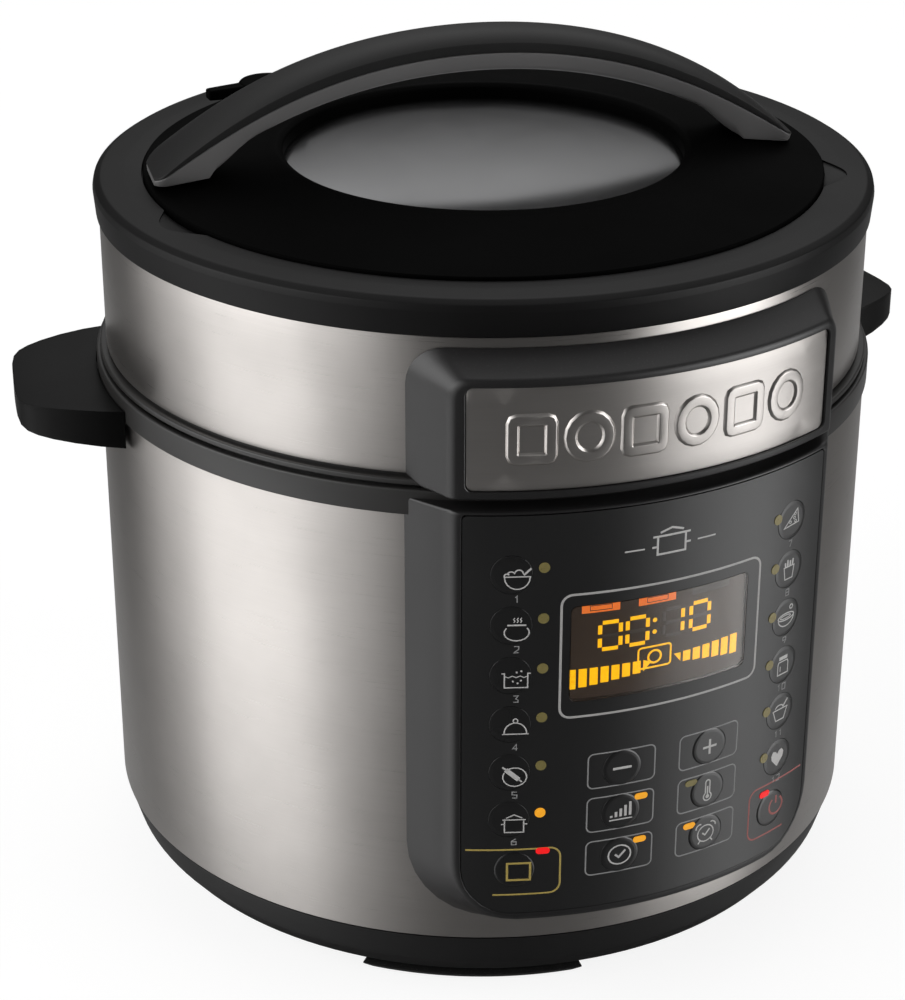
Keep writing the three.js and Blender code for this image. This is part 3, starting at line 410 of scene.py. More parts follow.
# ---- shader nodes ------------------------------------------------------------------------
def node(tree, kind, inputs=None, **settings):
    """A node with its settings, and its inputs set or linked by name or number."""
    made = tree.nodes.new("ShaderNode" + kind)
    for key, value in settings.items():
        setattr(made, key, value)
    for key, value in (inputs or {}).items():
        if isinstance(value, bpy.types.NodeSocket):
            tree.links.new(value, made.inputs[key])
        else:
            made.inputs[key].default_value = value
    return made


def maths(tree, operation, a, b=0.0, c=0.0):
    return node(tree, "Math", {0: a, 1: b, 2: c}, operation=operation).outputs[0]


def group(name, sockets_in, sockets_out):
    """An empty shader group with named float inputs and named outputs."""
    tree = bpy.data.node_groups.new(name, "ShaderNodeTree")
    for label, default in sockets_in:
        socket = tree.interface.new_socket(label, in_out="INPUT", socket_type="NodeSocketFloat")
        socket.default_value = default
    for label, kind in sockets_out:
        tree.interface.new_socket(label, in_out="OUTPUT", socket_type="NodeSocket" + kind)
    return tree, tree.nodes.new("NodeGroupInput").outputs, tree.nodes.new("NodeGroupOutput").inputs


def brushing_group():
    """Fine lines brushed round the axis: their shade, and the normal that they give."""
    tree, given, out = group(
        "Brushing",
        [("Lines per Metre", 2600.0), ("Streak Length", 0.03), ("Depth", 0.1), ("Patches", 22.0)],
        [("Lines", "Float"), ("Patches", "Float"), ("Normal", "Vector")],
    )
    place = node(tree, "TexCoord").outputs["Object"]
    axes = node(tree, "SeparateXYZ", {0: place}).outputs
    round_axis = maths(tree, "ARCTAN2", axes[0], axes[1])
    along = maths(tree, "DIVIDE", maths(tree, "MULTIPLY", round_axis, 0.15), given["Streak Length"])
    across = maths(tree, "MULTIPLY", axes[2], given["Lines per Metre"])
    depth = maths(tree, "MULTIPLY", node(tree, "VectorMath", {0: place}, operation="LENGTH").outputs[1], 40.0)
    grid = node(tree, "CombineXYZ", {0: along, 1: across, 2: depth}).outputs[0]
    lines = node(tree, "TexNoise", {"Vector": grid, "Scale": 1.0, "Detail": 4.0, "Roughness": 0.7})
    patches = node(tree, "TexNoise", {"Vector": place, "Scale": given["Patches"], "Detail": 3.0})
    bump = node(tree, "Bump", {"Strength": given["Depth"], "Distance": 0.0002, "Height": lines.outputs[0]})
    tree.links.new(lines.outputs[0], out["Lines"])
    tree.links.new(patches.outputs[0], out["Patches"])
    tree.links.new(bump.outputs[0], out["Normal"])
    return tree


def grain_group():
    """The fine texture of moulded plastic, and its slow unevenness."""
    tree, given, out = group(
        "Moulded Grain",
        [("Grains per Metre", 2400.0), ("Depth", 0.1), ("Unevenness", 14.0)],
        [("Grain", "Float"), ("Unevenness", "Float"), ("Normal", "Vector")],
    )
    place = node(tree, "TexCoord").outputs["Object"]
    grain = node(tree, "TexNoise", {"Vector": place, "Scale": given["Grains per Metre"], "Detail": 2.0})
    slow = node(tree, "TexNoise", {"Vector": place, "Scale": given["Unevenness"], "Detail": 4.0})
    bump = node(tree, "Bump", {"Strength": given["Depth"], "Distance": 0.0002, "Height": grain.outputs[0]})
    tree.links.new(grain.outputs[0], out["Grain"])
    tree.links.new(slow.outputs[0], out["Unevenness"])
    tree.links.new(bump.outputs[0], out["Normal"])
    return tree


def wear_group():
    """Where edges are rubbed, and where dust settles on what faces up."""
    tree, given, out = group(
        "Edge Wear",
        [("Amount", 0.5), ("Dust", 0.1)],
        [("Worn", "Float"), ("Dust", "Float")],
    )
    shape_of = node(tree, "NewGeometry").outputs
    place = node(tree, "TexCoord").outputs["Object"]
    breakup = node(tree, "TexNoise", {"Vector": place, "Scale": 90.0, "Detail": 5.0}).outputs[0]
    edge = node(
        tree, "MapRange", {0: shape_of["Pointiness"], 1: 0.515, 2: 0.56, 3: 0.0, 4: 1.0}, clamp=True
    ).outputs[0]
    worn = maths(tree, "MULTIPLY", maths(tree, "MULTIPLY", edge, breakup), given["Amount"])
    up = maths(tree, "MAXIMUM", node(tree, "SeparateXYZ", {0: shape_of["Normal"]}).outputs[2], 0.0)
    specks = node(tree, "TexNoise", {"Vector": place, "Scale": 1400.0, "Detail": 1.0}).outputs[0]
    dusty = node(tree, "MapRange", {0: specks, 1: 0.62, 2: 0.75, 3: 0.0, 4: 1.0}, clamp=True).outputs[0]
    dust = maths(tree, "MULTIPLY", maths(tree, "MULTIPLY", dusty, up), given["Dust"])
    tree.links.new(worn, out["Worn"])
    tree.links.new(dust, out["Dust"])
    return tree


EFFECTS = {"Brushing": brushing_group, "Moulded Grain": grain_group, "Edge Wear": wear_group}


def effect(tree, name, **values):
    """A shared effect placed in a material with its own values."""
    shared = bpy.data.node_groups.get(name) or EFFECTS[name]()
    made = tree.nodes.new("ShaderNodeGroup")
    made.node_tree = shared
    for key, value in values.items():
        made.inputs[key.replace("_", " ")].default_value = value
    return made.outputs


def material(name, build):
    """A material made once by its own function."""
    made = bpy.data.materials.get(name)
    if made is None:
        made = bpy.data.materials.new(name)
        made.use_nodes = True
        build(made.node_tree, made.node_tree.nodes["Principled BSDF"])
    return made


def feed(tree, shader, **links):
    for key, value in links.items():
        label = key.replace("_", " ").title()
        label = label.replace("Ior", "IOR")
        if isinstance(value, bpy.types.NodeSocket):
            tree.links.new(value, shader.inputs[label])
        else:
            shader.inputs[label].default_value = value


def between(tree, factor, low, high):
    """A value that runs from low to high as the factor goes over a noise's middle range."""
    return node(tree, "MapRange", {0: factor, 1: 0.3, 2: 0.7, 3: low, 4: high}).outputs[0]


def mixed(tree, factor, a, b):
    return node(tree, "MixRGB", {0: factor, 1: a, 2: b}).outputs[0]


def scaled(rgb, amount):
    return (*[min(1.0, c * amount) for c in rgb[:3]], 1.0)


def brushed(name, rgb, rough, lines, streak, depth, contrast, anisotropic):
    """A metal brushed round the axis."""

    def build(tree, shader):
        effects = effect(tree, "Brushing", Lines_per_Metre=lines, Streak_Length=streak, Depth=depth)
        shade = between(tree, effects["Lines"], 0.0, 1.0)
        base = mixed(tree, shade, scaled(rgb, 1 - contrast), scaled(rgb, 1 + contrast))
        patchy = between(tree, effects["Patches"], 0.94, 1.05)
        base = node(tree, "VectorMath", {0: base, "Scale": patchy}, operation="SCALE").outputs[0]
        tangent = node(tree, "Tangent", direction_type="RADIAL", axis="Z").outputs[0]
        feed(
            tree,
            shader,
            base_color=base,
            metallic=1.0,
            roughness=between(tree, effects["Lines"], rough * 0.86, rough * 1.14),
            normal=effects["Normal"],
            anisotropic=anisotropic,
            anisotropic_rotation=0.25,
            tangent=tangent,
        )

    return material(name, build)


def moulded(name, rgb, rough, grain=2400.0, depth=0.06, coat=0.0, wear=0.4, dust=0.04, specular=0.5):
    """A moulded plastic with a fine grain, rubbed edges and a little dust."""

    def build(tree, shader):
        effects = effect(tree, "Moulded Grain", Grains_per_Metre=grain, Depth=depth)
        used = effect(tree, "Edge Wear", Amount=wear, Dust=dust)
        slow = between(tree, effects["Unevenness"], 0.0, 1.0)
        base = mixed(tree, slow, scaled(rgb, 0.9), scaled(rgb, 1.12))
        base = mixed(tree, used["Worn"], base, scaled(rgb, 2.2))
        base = mixed(tree, used["Dust"], base, (0.35, 0.34, 0.32, 1.0))
        level = between(tree, effects["Unevenness"], rough * 0.92, rough * 1.08)
        level = maths(tree, "ADD", level, maths(tree, "MULTIPLY", used["Dust"], 0.3))
        feed(tree, shader, base_color=base, roughness=level, normal=effects["Normal"])
        feed(tree, shader, coat_weight=coat, coat_roughness=0.12, specular_ior_level=specular)

    return material(name, build)


def steel():
    return brushed("Brushed Steel", tint("steel"), 0.31, 2600.0, 0.040, 0.07, 0.028, 0.68)


def badge_steel():
    return brushed("Badge Steel", tint("steel"), 0.35, 3000.0, 0.030, 0.06, 0.03, 0.55)


def dome_steel():
    return brushed("Satin Dome Steel", tint("dome"), 0.17, 500.0, 0.2, 0.02, 0.015, 0.0)


def aluminium():
    return brushed("Spun Aluminium", (0.62, 0.62, 0.63, 1), 0.32, 1500.0, 0.2, 0.15, 0.05, 0.5)


def zinc():
    return brushed("Zinc Plate", (0.55, 0.55, 0.54, 1), 0.3, 900.0, 0.1, 0.1, 0.06, 0.2)


def housing_black():
    return moulded("Housing Black", tint("black"), 0.36, depth=0.03, wear=0.25)


def ring_black():
    dark = scaled(tint("black"), 0.4)
    return moulded("Ring Black", dark, 0.44, depth=0.05, wear=0.2, dust=0.0, specular=0.2)


def cover_black():
    dark = scaled(tint("cover"), 0.5)
    return moulded("Cover Black", dark, 0.60, 3000.0, depth=0.06, wear=0.3, dust=0.0, specular=0.02)


def base_black():
    return moulded("Base Black", scaled(tint("black"), 0.6), 0.46, depth=0.08, wear=0.3, specular=0.35)


def soft_black():
    soft = tint("cap")
    return moulded("Soft Touch Black", soft, 0.48, 3600.0, depth=0.14, wear=0.15, dust=0.01, specular=0.35)


def bar_painted_light_grey():
    # The bar's grey is painted light: the cap's black made 15 times lighter, standing in for the lit satin
    # face.
    return moulded("Arch Satin", scaled(tint("cap"), 15), 0.34, depth=0.03, wear=0.2, specular=0.8)


def band_grey():
    return moulded("Band Charcoal", tint("band"), 0.34, depth=0.04, wear=0.25)


def handle_black():
    dark = scaled(tint("band"), 0.08)
    return moulded("Handle Black", dark, 0.42, depth=0.06, wear=0.3, dust=0.0, specular=0.12)


def foot_rubber():
    return moulded("Foot Rubber", (0.012, 0.012, 0.012, 1), 0.7, grain=1600.0, depth=0.3, wear=0.2, dust=0.2)


def overlay_film():
    film = tint("overlay")
    return moulded("Overlay Film", film, 0.34, grain=1800.0, depth=0.05, wear=0.0, dust=0.01, specular=0.8)


def key_film():
    film = tint("overlay")
    return moulded("Key Film", film, 0.28, grain=1800.0, depth=0.03, wear=0.0, dust=0.01, specular=0.8)


def board_green():
    return moulded("Circuit Board", (0.01, 0.09, 0.03, 1), 0.45, grain=700.0, depth=0.3, coat=0.4)


def silicone():
    return moulded("Silicone", (0.62, 0.60, 0.55, 1), 0.5, grain=1200.0, depth=0.05, wear=0.0)


def float_red():
    return moulded("Float Red", (0.5, 0.03, 0.015, 1), 0.35)


def pot_coating():
    """Dark non-stick coating with pale flecks."""

    def build(tree, shader):
        place = node(tree, "TexCoord").outputs["Object"]
        flecks = node(tree, "TexVoronoi", {"Vector": place, "Scale": 420.0}).outputs[0]
        fleck = node(tree, "MapRange", {0: flecks, 1: 0.16, 2: 0.1, 3: 0.0, 4: 0.5}).outputs[0]
        effects = effect(tree, "Moulded Grain", Grains_per_Metre=1800.0, Depth=0.25)
        feed(tree, shader, base_color=mixed(tree, fleck, (0.03, 0.03, 0.031, 1), (0.3, 0.3, 0.3, 1)))
        rough = between(tree, effects["Unevenness"], 0.26, 0.34)
        feed(tree, shader, roughness=rough, normal=effects["Normal"])

    return material("Pot Coating", build)


def smoked_glass():
    def build(tree, shader):
        place = node(tree, "TexCoord").outputs["Object"]
        smear = node(tree, "TexNoise", {"Vector": place, "Scale": 60.0, "Detail": 3.0}).outputs[0]
        feed(tree, shader, base_color=(0.86, 0.84, 0.82, 1), ior=1.47, transmission_weight=1.0)
        feed(tree, shader, roughness=between(tree, smear, 0.015, 0.05))

    return material("Display Glass", build)


def cup_plastic():
    def build(tree, shader):
        place = node(tree, "TexCoord").outputs["Object"]
        smear = node(tree, "TexNoise", {"Vector": place, "Scale": 45.0, "Detail": 3.0}).outputs[0]
        feed(tree, shader, base_color=(0.55, 0.55, 0.55, 1), ior=1.5, transmission_weight=1.0)
        feed(tree, shader, roughness=between(tree, smear, 0.08, 0.2))

    return material("Cup Plastic", build)


def display_black():
    """The display's dark ground, a little brown where its lamps glow behind it."""

    def build(tree, shader):
        place = node(tree, "TexCoord").outputs["Object"]
        glow = node(tree, "TexNoise", {"Vector": place, "Scale": 28.0, "Detail": 1.0}).outputs[0]
        base = mixed(tree, glow, (0.030, 0.022, 0.017, 1), (0.060, 0.042, 0.030, 1))
        feed(tree, shader, base_color=base, roughness=between(tree, glow, 0.3, 0.4))
        feed(tree, shader, emission_color=(0.035, 0.022, 0.014, 1), emission_strength=0.6)

    return material("Display Ground", build)


def ink(name, rgb, rough=0.45, glow=0.0):
    """A printed colour, or a lit one with some glow, slightly uneven as print is."""

    def build(tree, shader):
        place = node(tree, "TexCoord").outputs["Object"]
        spots = node(tree, "TexNoise", {"Vector": place, "Scale": 900.0, "Detail": 2.0}).outputs[0]
        base = mixed(tree, spots, scaled(rgb, 0.82), scaled(rgb, 1.1))
        feed(tree, shader, base_color=base, roughness=between(tree, spots, rough * 0.9, rough * 1.1))
        if glow:
            feed(tree, shader, emission_color=base, emission_strength=glow)

    return material(name, build)


def white_ink():
    return ink("White Ink", (0.62, 0.61, 0.60, 1))


def grey_ink():
    return ink("Grey Ink", (0.30, 0.30, 0.30, 1))


def line_ink():
    return ink("Line Ink", (0.50, 0.49, 0.48, 1), 0.35)


def gold_ink():
    return ink("Gold Ink", (0.50, 0.38, 0.10, 1), 0.35)


def rose_ink():
    return ink("Rose Ink", (0.40, 0.12, 0.11, 1))


def dark_lamp():
    return ink("Unlit Lamp", (0.24, 0.20, 0.07, 1), 0.3)


def amber_lamp():
    return ink("Amber Lamp", tint("amber"), 0.4, 0.55)


def red_lamp():
    return ink("Red Lamp", scaled(tint("red"), 0.8), 0.4, 0.6)


def segment_lamp():
    return ink("Lit Segments", (1.0, 0.50, 0.0, 1), 0.3, 1.15)


def tab_lamp():
    return ink("Lit Tabs", (0.9, 0.20, 0.03, 1), 0.3, 0.8)


def ghost_lamp():
    return ink("Unlit Segments", (0.10, 0.085, 0.075, 1), 0.4, 0.1)


# ---- printing on the panel ---------------------------------------------------------------
class Print:
    """Lines and filled shapes in millimetres on a flat sheet, laid on a round wall."""

    def __init__(self, width=0.5, thickness=0.05, flat=0.8):
        self.width, self.thickness, self.flat = width, thickness, flat
        self.points, self.faces = [], []

    def line(self, *points, closed=False, width=None):
        half = (width or self.width) / 2
        path = short_steps([Vector(p) for p in points], closed)
        n, start = len(path), len(self.points)
        for i, here in enumerate(path):
            before = path[i - 1] if closed or i else None
            after = path[(i + 1) % n] if closed or i < n - 1 else None
            into = (here - before).normalized() if before is not None else (after - here).normalized()
            out_of = (after - here).normalized() if after is not None else into
            side = Vector((-into.y, into.x)) + Vector((-out_of.y, out_of.x))
            side = side.normalized() if side.length > 1e-6 else Vector((-into.y, into.x))
            reach = half / max(0.5, side.dot(Vector((-into.y, into.x))))
            for share, lift in ((-1, 0), (-self.flat, 1), (self.flat, 1), (1, 0)):
                self.points.append((*(here + side * reach * share), lift * self.thickness))
        for i in range(n if closed else n - 1):
            a, b = start + 4 * i, start + 4 * ((i + 1) % n)
            for k in range(4):
                m = (k + 1) % 4
                self.faces.append((a + k, a + m, b + m, b + k))
        if not closed:
            end = start + 4 * (n - 1)
            self.faces += [(start, start + 1, start + 2, start + 3), (end + 3, end + 2, end + 1, end)]
        return self

    def arc(self, x, y, rx, ry=None, start=0, end=360, width=None, turn=0):
        ry = ry or rx
        closed = abs(end - start) >= 360
        steps = max(6, round(abs(end - start) / 20))
        path = []
        for k in range(steps if closed else steps + 1):
            a = math.radians(start + (end - start) * k / steps)
            path.append(turned_about(x, y, rx * math.cos(a), ry * math.sin(a), turn))
        return self.line(*path, closed=closed, width=width)

    def fill(self, *points):
        start, n = len(self.points), len(points)
        self.points += [(*p, 0) for p in points] + [(*p, self.thickness) for p in points]
        self.faces += [tuple(range(start, start + n)), tuple(range(start + 2 * n - 1, start + n - 1, -1))]
        for k in range(n):
            m = (k + 1) % n
            self.faces.append((start + k, start + m, start + n + m, start + n + k))
        return self

    def spot(self, x, y, rx, ry=None, turn=0):
        ry = ry or rx
        around = [math.radians(360 * k / 16) for k in range(16)]
        return self.fill(*[turned_about(x, y, rx * math.cos(a), ry * math.sin(a), turn) for a in around])

    def box(self, x0, y0, x1, y1):
        if x1 - x0 > 2.5:
            return self.line((x0, (y0 + y1) / 2), (x1, (y0 + y1) / 2), width=y1 - y0)
        return self.fill((x0, y0), (x1, y0), (x1, y1), (x0, y1))

    def pill(self, x, y, half_w, half_h):
        return self.fill(*rounded_rect(x, y, half_w, half_h, half_h * 0.99))

    def laid(self, azimuth, r, z):
        """The print on a wall of that radius."""
        points = [polar(azimuth + math.degrees(x / r), r + lift, z + y) for x, y, lift in self.points]
        return points, self.faces

    def flat_on(self, azimuth, r, z):
        """The print on a flat key that faces outwards."""
        return moved((self.points, self.faces), facing(azimuth, r, z))


def short_steps(path, closed, step=2.5):
    """The path with points added, so that a long stroke follows the wall."""
    out = []
    for i, here in enumerate(path):
        out.append(here)
        if i == len(path) - 1 and not closed:
            break
        after = path[(i + 1) % len(path)]
        count = math.ceil((after - here).length / step)
        out += [here.lerp(after, k / count) for k in range(1, count)]
    return out


def turned_about(x, y, dx, dy, turn):
    a = math.radians(turn)
    return (x + dx * math.cos(a) - dy * math.sin(a), y + dx * math.sin(a) + dy * math.cos(a))


def rounded_rect(x, y, half_w, half_h, corner, steps=6):
    """Points round a rounded rectangle."""
    out = []
    for sx, sy, start in ((1, 1, 0), (-1, 1, 90), (-1, -1, 180), (1, -1, 270)):
        for k in range(steps + 1):
            a = math.radians(start + 90 * k / steps)
            cx, cy = x + sx * (half_w - corner), y + sy * (half_h - corner)
            out.append((cx + corner * math.cos(a), cy + corner * math.sin(a)))
    return out


# Each icon is drawn on its own sheet, centred, about 11 wide and 9 high.
def icon_minus(p):
    p.box(-3.9, -0.55, 3.9, 0.55)


def icon_plus(p):
    p.box(-3.3, -0.5, 3.3, 0.5).box(-0.5, 0.5, 0.5, 3.4).box(-0.5, -3.4, 0.5, -0.5)


def icon_level(p):
    for i, tall in enumerate((0.9, 2.4, 3.6, 4.9, 6.2)):
        p.box(-4.6 + 2.0 * i, -2.2, -3.5 + 2.0 * i, -2.2 + tall)
    p.box(-4.9, -3.8, 4.9, -3.2)


def icon_clock(p):
    p.arc(0, 0, 4.8, 4.4, width=0.65).line((-1.9, 0.3), (-0.3, -1.1), (2.5, 1.9), width=0.9)


def icon_thermometer(p):
    p.arc(0, -3.0, 1.9, start=125, end=415, width=0.6).arc(0, 3.6, 1.05, start=0, end=180, width=0.6)
    p.line((-1.05, 3.6), (-1.05, -1.4), width=0.6).line((1.05, 3.6), (1.05, -1.4), width=0.6)
    p.spot(0, -3.0, 0.9).box(-0.3, -2.6, 0.3, 1.8)


def icon_delay(p):
    p.arc(0, -0.3, 3.9, 3.8, width=0.55).line((-1.6, 0.1), (-0.2, -1.1), (2.0, 1.4), width=0.7)
    for side in (-1, 1):
        p.arc(side * 3.5, 3.4, 1.5, 0.9, start=0, end=180, width=0.6, turn=-side * 40)
        p.line((side * 2.6, -3.4), (side * 3.5, -4.6), width=0.6)


def icon_stop(p):
    p.line((-4.6, -3.9), (4.6, -3.9), (4.6, 3.9), (-4.6, 3.9), closed=True, width=0.9)


def icon_power(p):
    p.arc(0, -0.4, 4.0, start=-235, end=55, width=0.95).line((0, 0.6), (0, 4.3), width=0.95)


def icon_bowl(p):
    p.arc(0, 0.8, 4.9, 5.2, start=180, end=360).line((-5.2, 0.9), (5.2, 0.9))
    p.arc(-2.4, 1.6, 1.5, start=20, end=170).arc(0.6, 2.2, 1.6, start=0, end=170)
    p.arc(-4.0, 1.2, 1.0, start=30, end=180).line((2.4, 1.6), (5.3, 4.4), width=0.8)


def icon_steaming_pot(p):
    p.arc(0, -1.3, 4.8, 3.5, start=-215, end=35).line((-3.6, 1.9), (3.6, 1.9), width=0.7)
    for x in (-1.2, 0.1, 1.4):
        p.line((x, 3.0), (x + 0.5, 3.7), (x, 4.4), (x + 0.5, 5.1), width=0.4)


def icon_soup(p):
    p.line((-5.6, 2.6), (-4.5, 2.6), (-4.5, -3.6), (4.5, -3.6), (4.5, 2.6), (5.6, 2.6))
    p.line((-4.5, 1.4), (-2.9, 0.8), (-1.4, 1.5), (0, 0.8), (1.6, 1.5), (3.0, 0.8), (4.5, 1.4), width=0.4)
    for x, y in ((-1.2, -0.8), (0.6, -1.7), (1.9, -0.5), (0.2, 3.1), (2.0, 3.6)):
        p.spot(x, y, 0.4)


def icon_cloche(p):
    p.arc(0, -2.2, 4.4, 4.6, start=0, end=180).line((-5.2, -2.6), (5.2, -2.6)).arc(0, 3.3, 0.9, width=0.45)


def icon_rolling_pin(p):
    p.arc(0, -0.4, 4.7, 4.2, start=150, end=495)
    p.line((-3.6, 3.0), (1.6, -1.6), width=2.0).line((-4.9, 4.2), (-3.4, 2.9), width=0.7)
    p.line((1.4, -1.4), (2.8, -2.6), width=0.7)


def icon_lidded_pot(p):
    p.line((-3.8, 1.2), (-3.8, -4.2), (3.8, -4.2), (3.8, 1.2)).line((-4.6, 1.6), (4.6, 1.6))
    p.line((-3.2, 2.4), (0, 3.9), (3.2, 2.4)).line((-5.2, -0.4), (-3.8, -0.4)).line((3.8, -0.4), (5.2, -0.4))


def icon_slice(p):
    p.line((-4.6, -2.6), (3.2, 4.2), (4.2, -1.8), closed=True)
    for x, y in ((-0.8, -0.8), (1.4, 0.6), (2.2, -1.0), (1.9, 2.2)):
        p.arc(x, y, 0.55, width=0.35)


def icon_fries(p):
    p.line((-3.0, 1.2), (-2.2, -4.2), (2.2, -4.2), (3.0, 1.2), closed=True)
    for x, top in ((-2.1, 3.4), (-0.8, 4.3), (0.6, 3.7), (2.0, 4.1)):
        p.line((x, 1.4), (x * 1.15, top), width=0.9)


def icon_hot_bowl(p):
    p.arc(0, 0.3, 4.8, 1.5, width=0.55).arc(0, 0.3, 4.8, 4.2, start=190, end=350)
    p.arc(-0.3, 0.3, 3.1, 0.7, width=0.4).arc(2.9, 4.0, 0.9, width=0.5)


def icon_jar(p):
    p.line((-2.6, 1.6), (-3.1, 0.6), (-3.1, -4.2), (3.1, -4.2), (3.1, 0.6), (2.6, 1.6), closed=True)
    p.box(-2.5, 2.4, 2.5, 4.0).line((-1.6, -0.4), (-1.6, -2.8), width=0.4)


def icon_spoon_bowl(p):
    p.line((-4.6, 1.0), (4.6, 1.0)).line((-4.2, 0.8), (-2.4, -4.0), (2.4, -4.0), (4.2, 0.8))
    p.arc(-0.6, 1.6, 2.4, 1.4, start=0, end=180).line((1.6, 1.6), (4.4, 4.6), width=0.8)


def icon_heart(p):
    left = [(-0.2, -4.2), (-3.4, -0.6), (-3.8, 1.6), (-2.6, 3.2), (-1.0, 2.8), (0, 1.4)]
    right = [(1.0, 2.8), (2.6, 3.2), (3.8, 1.6), (3.4, -0.6), (0.2, -4.2)]
    p.fill(*reversed(left + right))


KEY_ICONS = {
    "minus": icon_minus,
    "plus": icon_plus,
    "level": icon_level,
    "clock": icon_clock,
    "temperature": icon_thermometer,
    "delay": icon_delay,
    "stop": icon_stop,
    "power": icon_power,
}
LEFT_ICONS = (icon_bowl, icon_steaming_pot, icon_soup, icon_cloche, icon_rolling_pin, icon_lidded_pot)
RIGHT_ICONS = (icon_slice, icon_fries, icon_hot_bowl, icon_jar, icon_spoon_bowl, icon_heart)

# Seven-segment numerals, by the segments that are lit: top, the two on the right from the
# top, bottom, the two on the left from the bottom, and the middle.
SEGMENTS = {"0": "abcdef", "1": "bc", "8": "abcdefg"}


def segment_paths(w, h, gap):
    a, b = w / 2, h / 2
    return {
        "a": ((-a + gap, b), (a - gap, b)),
        "b": ((a, b - gap), (a, gap)),
        "c": ((a, -gap), (a, -b + gap)),
        "d": ((a - gap, -b), (-a + gap, -b)),
        "e": ((-a, -b + gap), (-a, -gap)),
        "f": ((-a, gap), (-a, b - gap)),
        "g": ((-a + gap, 0), (a - gap, 0)),
    }


# ---- base and body -----------------------------------------------------------------------
FOOT_TURN = -25
SCREW_AZIMUTHS = (60, 180, 300)
SCREW_PITCH_R = 100


class COOKER_OT_base(bpy.types.Operator):
    """Builds the black base with its vents, feet, screws and power inlet"""

    bl_idname = "cooker.base"
    bl_label = "Base and feet"

    def execute(self, context):
        low, top = BASE_LOW.z, SKIN_LOW.z - 0.8
        collar = SKIN_R - 1.2
        outline = [
            (8.5, low), (SKIN_R - 19, low, 3), (SKIN_R - 10.2, low + 6.4, 6), (SKIN_R - 4.4, low + 13.5, 8),
            (SKIN_R - 0.5, top, 0.3), (collar, top), (collar, BASE_HIGH.z),
            (collar - 2.5, BASE_HIGH.z), (collar - 2.5, top), (SKIN_R - 8, low + 14, 6),
            (SKIN_R - 18, low + 2.5, 4), (8.5, low + 2.5),
        ]  # fmt: skip
        slots = []
        for i in range(8):
            slot = block((-2, -83, low - 2), (2, -49, low + 5))
            slots.append(moved(slot, Matrix.Rotation(math.radians(45 * (i + 0.5)), 4, "Z")))
        for azimuth in SCREW_AZIMUTHS:
            hole = rod(2.8, low - 1, low + 3.5, 24)
            slots.append(moved(hole, Matrix.Translation(polar(azimuth, SCREW_PITCH_R, 0))))
        shell = turned(rounded(outline), 144)
        piece("base_bowl", shell, base_black(), "body", ["base_shell"], cut=joined(*slots))
        post = turned(rounded([(0, low + 0.4), (8.5, low + 0.4), (8.5, 34.8, 0.6), (0, 34.8)]), 48)
        piece("sensor_post", post, base_black(), "body")
        for i in range(4):
            turn = Matrix.Rotation(math.radians(FOOT_TURN + 90 * i), 4, "Z")
            pad = moved(shaped(24, 4, 6, self.foot_point), turn)
            node_name = f"foot_{i + 1}"
            piece(
                f"foot_pad_{i + 1}", pad, foot_rubber(), "body",
                [node_name], bevel=0.8, sharp=40,
            )  # fmt: skip
        for i, azimuth in enumerate(SCREW_AZIMUTHS):
            head = low - 0.4
            outline = [
                (0, head - 2), (3.4, head - 2, 0.7), (3.8, head),
                (1.8, head), (1.8, head + 12), (0, head + 12),
            ]  # fmt: skip
            screw = turned(rounded(outline), 32)
            slot = self.cross(head - 3, head - 1.1)
            place = Matrix.Translation(polar(azimuth, SCREW_PITCH_R, 0))
            piece(
                f"case_screw_{i + 1}", moved(screw, place), zinc(), "body",
                [f"base_screw_{i + 1}"], cut=moved(slot, place),
            )  # fmt: skip
        self.inlet()
        return {"FINISHED"}

    def cross(self, low, high):
        """The driver's cross in a screw's head."""
        arm, half = 2.2, 0.4
        quarter = [(arm, -half), (arm, half), (half, half)]
        outline = [turned_about(0, 0, x, y, 90 * k) for k in range(4) for x, y in quarter]
        return lofted([[(x, y, z) for x, y in outline] for z in (low, high)])

    def foot_point(self, u, v, w):
        """A foot pad that narrows and draws in towards the ground."""
        draft = 1 - w
        azimuth = (2 * u - 1) * (18.5 - 1.3 * draft)
        return polar(azimuth, lerp(118, 135.5 - 4.0 * draft, v), FOOT_HIGH.z * w)

    def inlet(self):
        z = INLET_LOW.z + 5
        face = INLET_HIGH.y
        shell = joined(block((-15, face - 21, z), (15, face - 1, z + 24)))
        flange = block((-20, face - 2, z - 5), (20, face, z + 29))
        socket = [
            (-12, z + 3.5), (12, z + 3.5), (12, z + 15),
            (7.5, z + 20.5), (-7.5, z + 20.5), (-12, z + 15),
        ]  # fmt: skip
        hollow = lofted([[(x, y, h) for x, h in socket] for y in (face - 15, face + 1)])
        piece("inlet_box", shell, housing_black(), "body", ["power_inlet"], cut=hollow)
        piece("inlet_flange", flange, housing_black(), "body", cut=hollow, bevel=0.6)
        for name, x, rise in (("left", -7, -2.5), ("right", 7, -2.5), ("earth", 0, 2.5)):
            middle = z + 12 + rise
            pin = block((x - 2, face - 16, middle - 1), (x + 2, face - 7.5, middle + 1))
            piece("inlet_pin_" + name, pin, zinc(), "body", bevel=0.4)


HANDLE_REACH = 0.95  # its finished length next to the frame part's
HANDLE_AZIMUTHS = {"left": -102, "right": 95}  # from the front


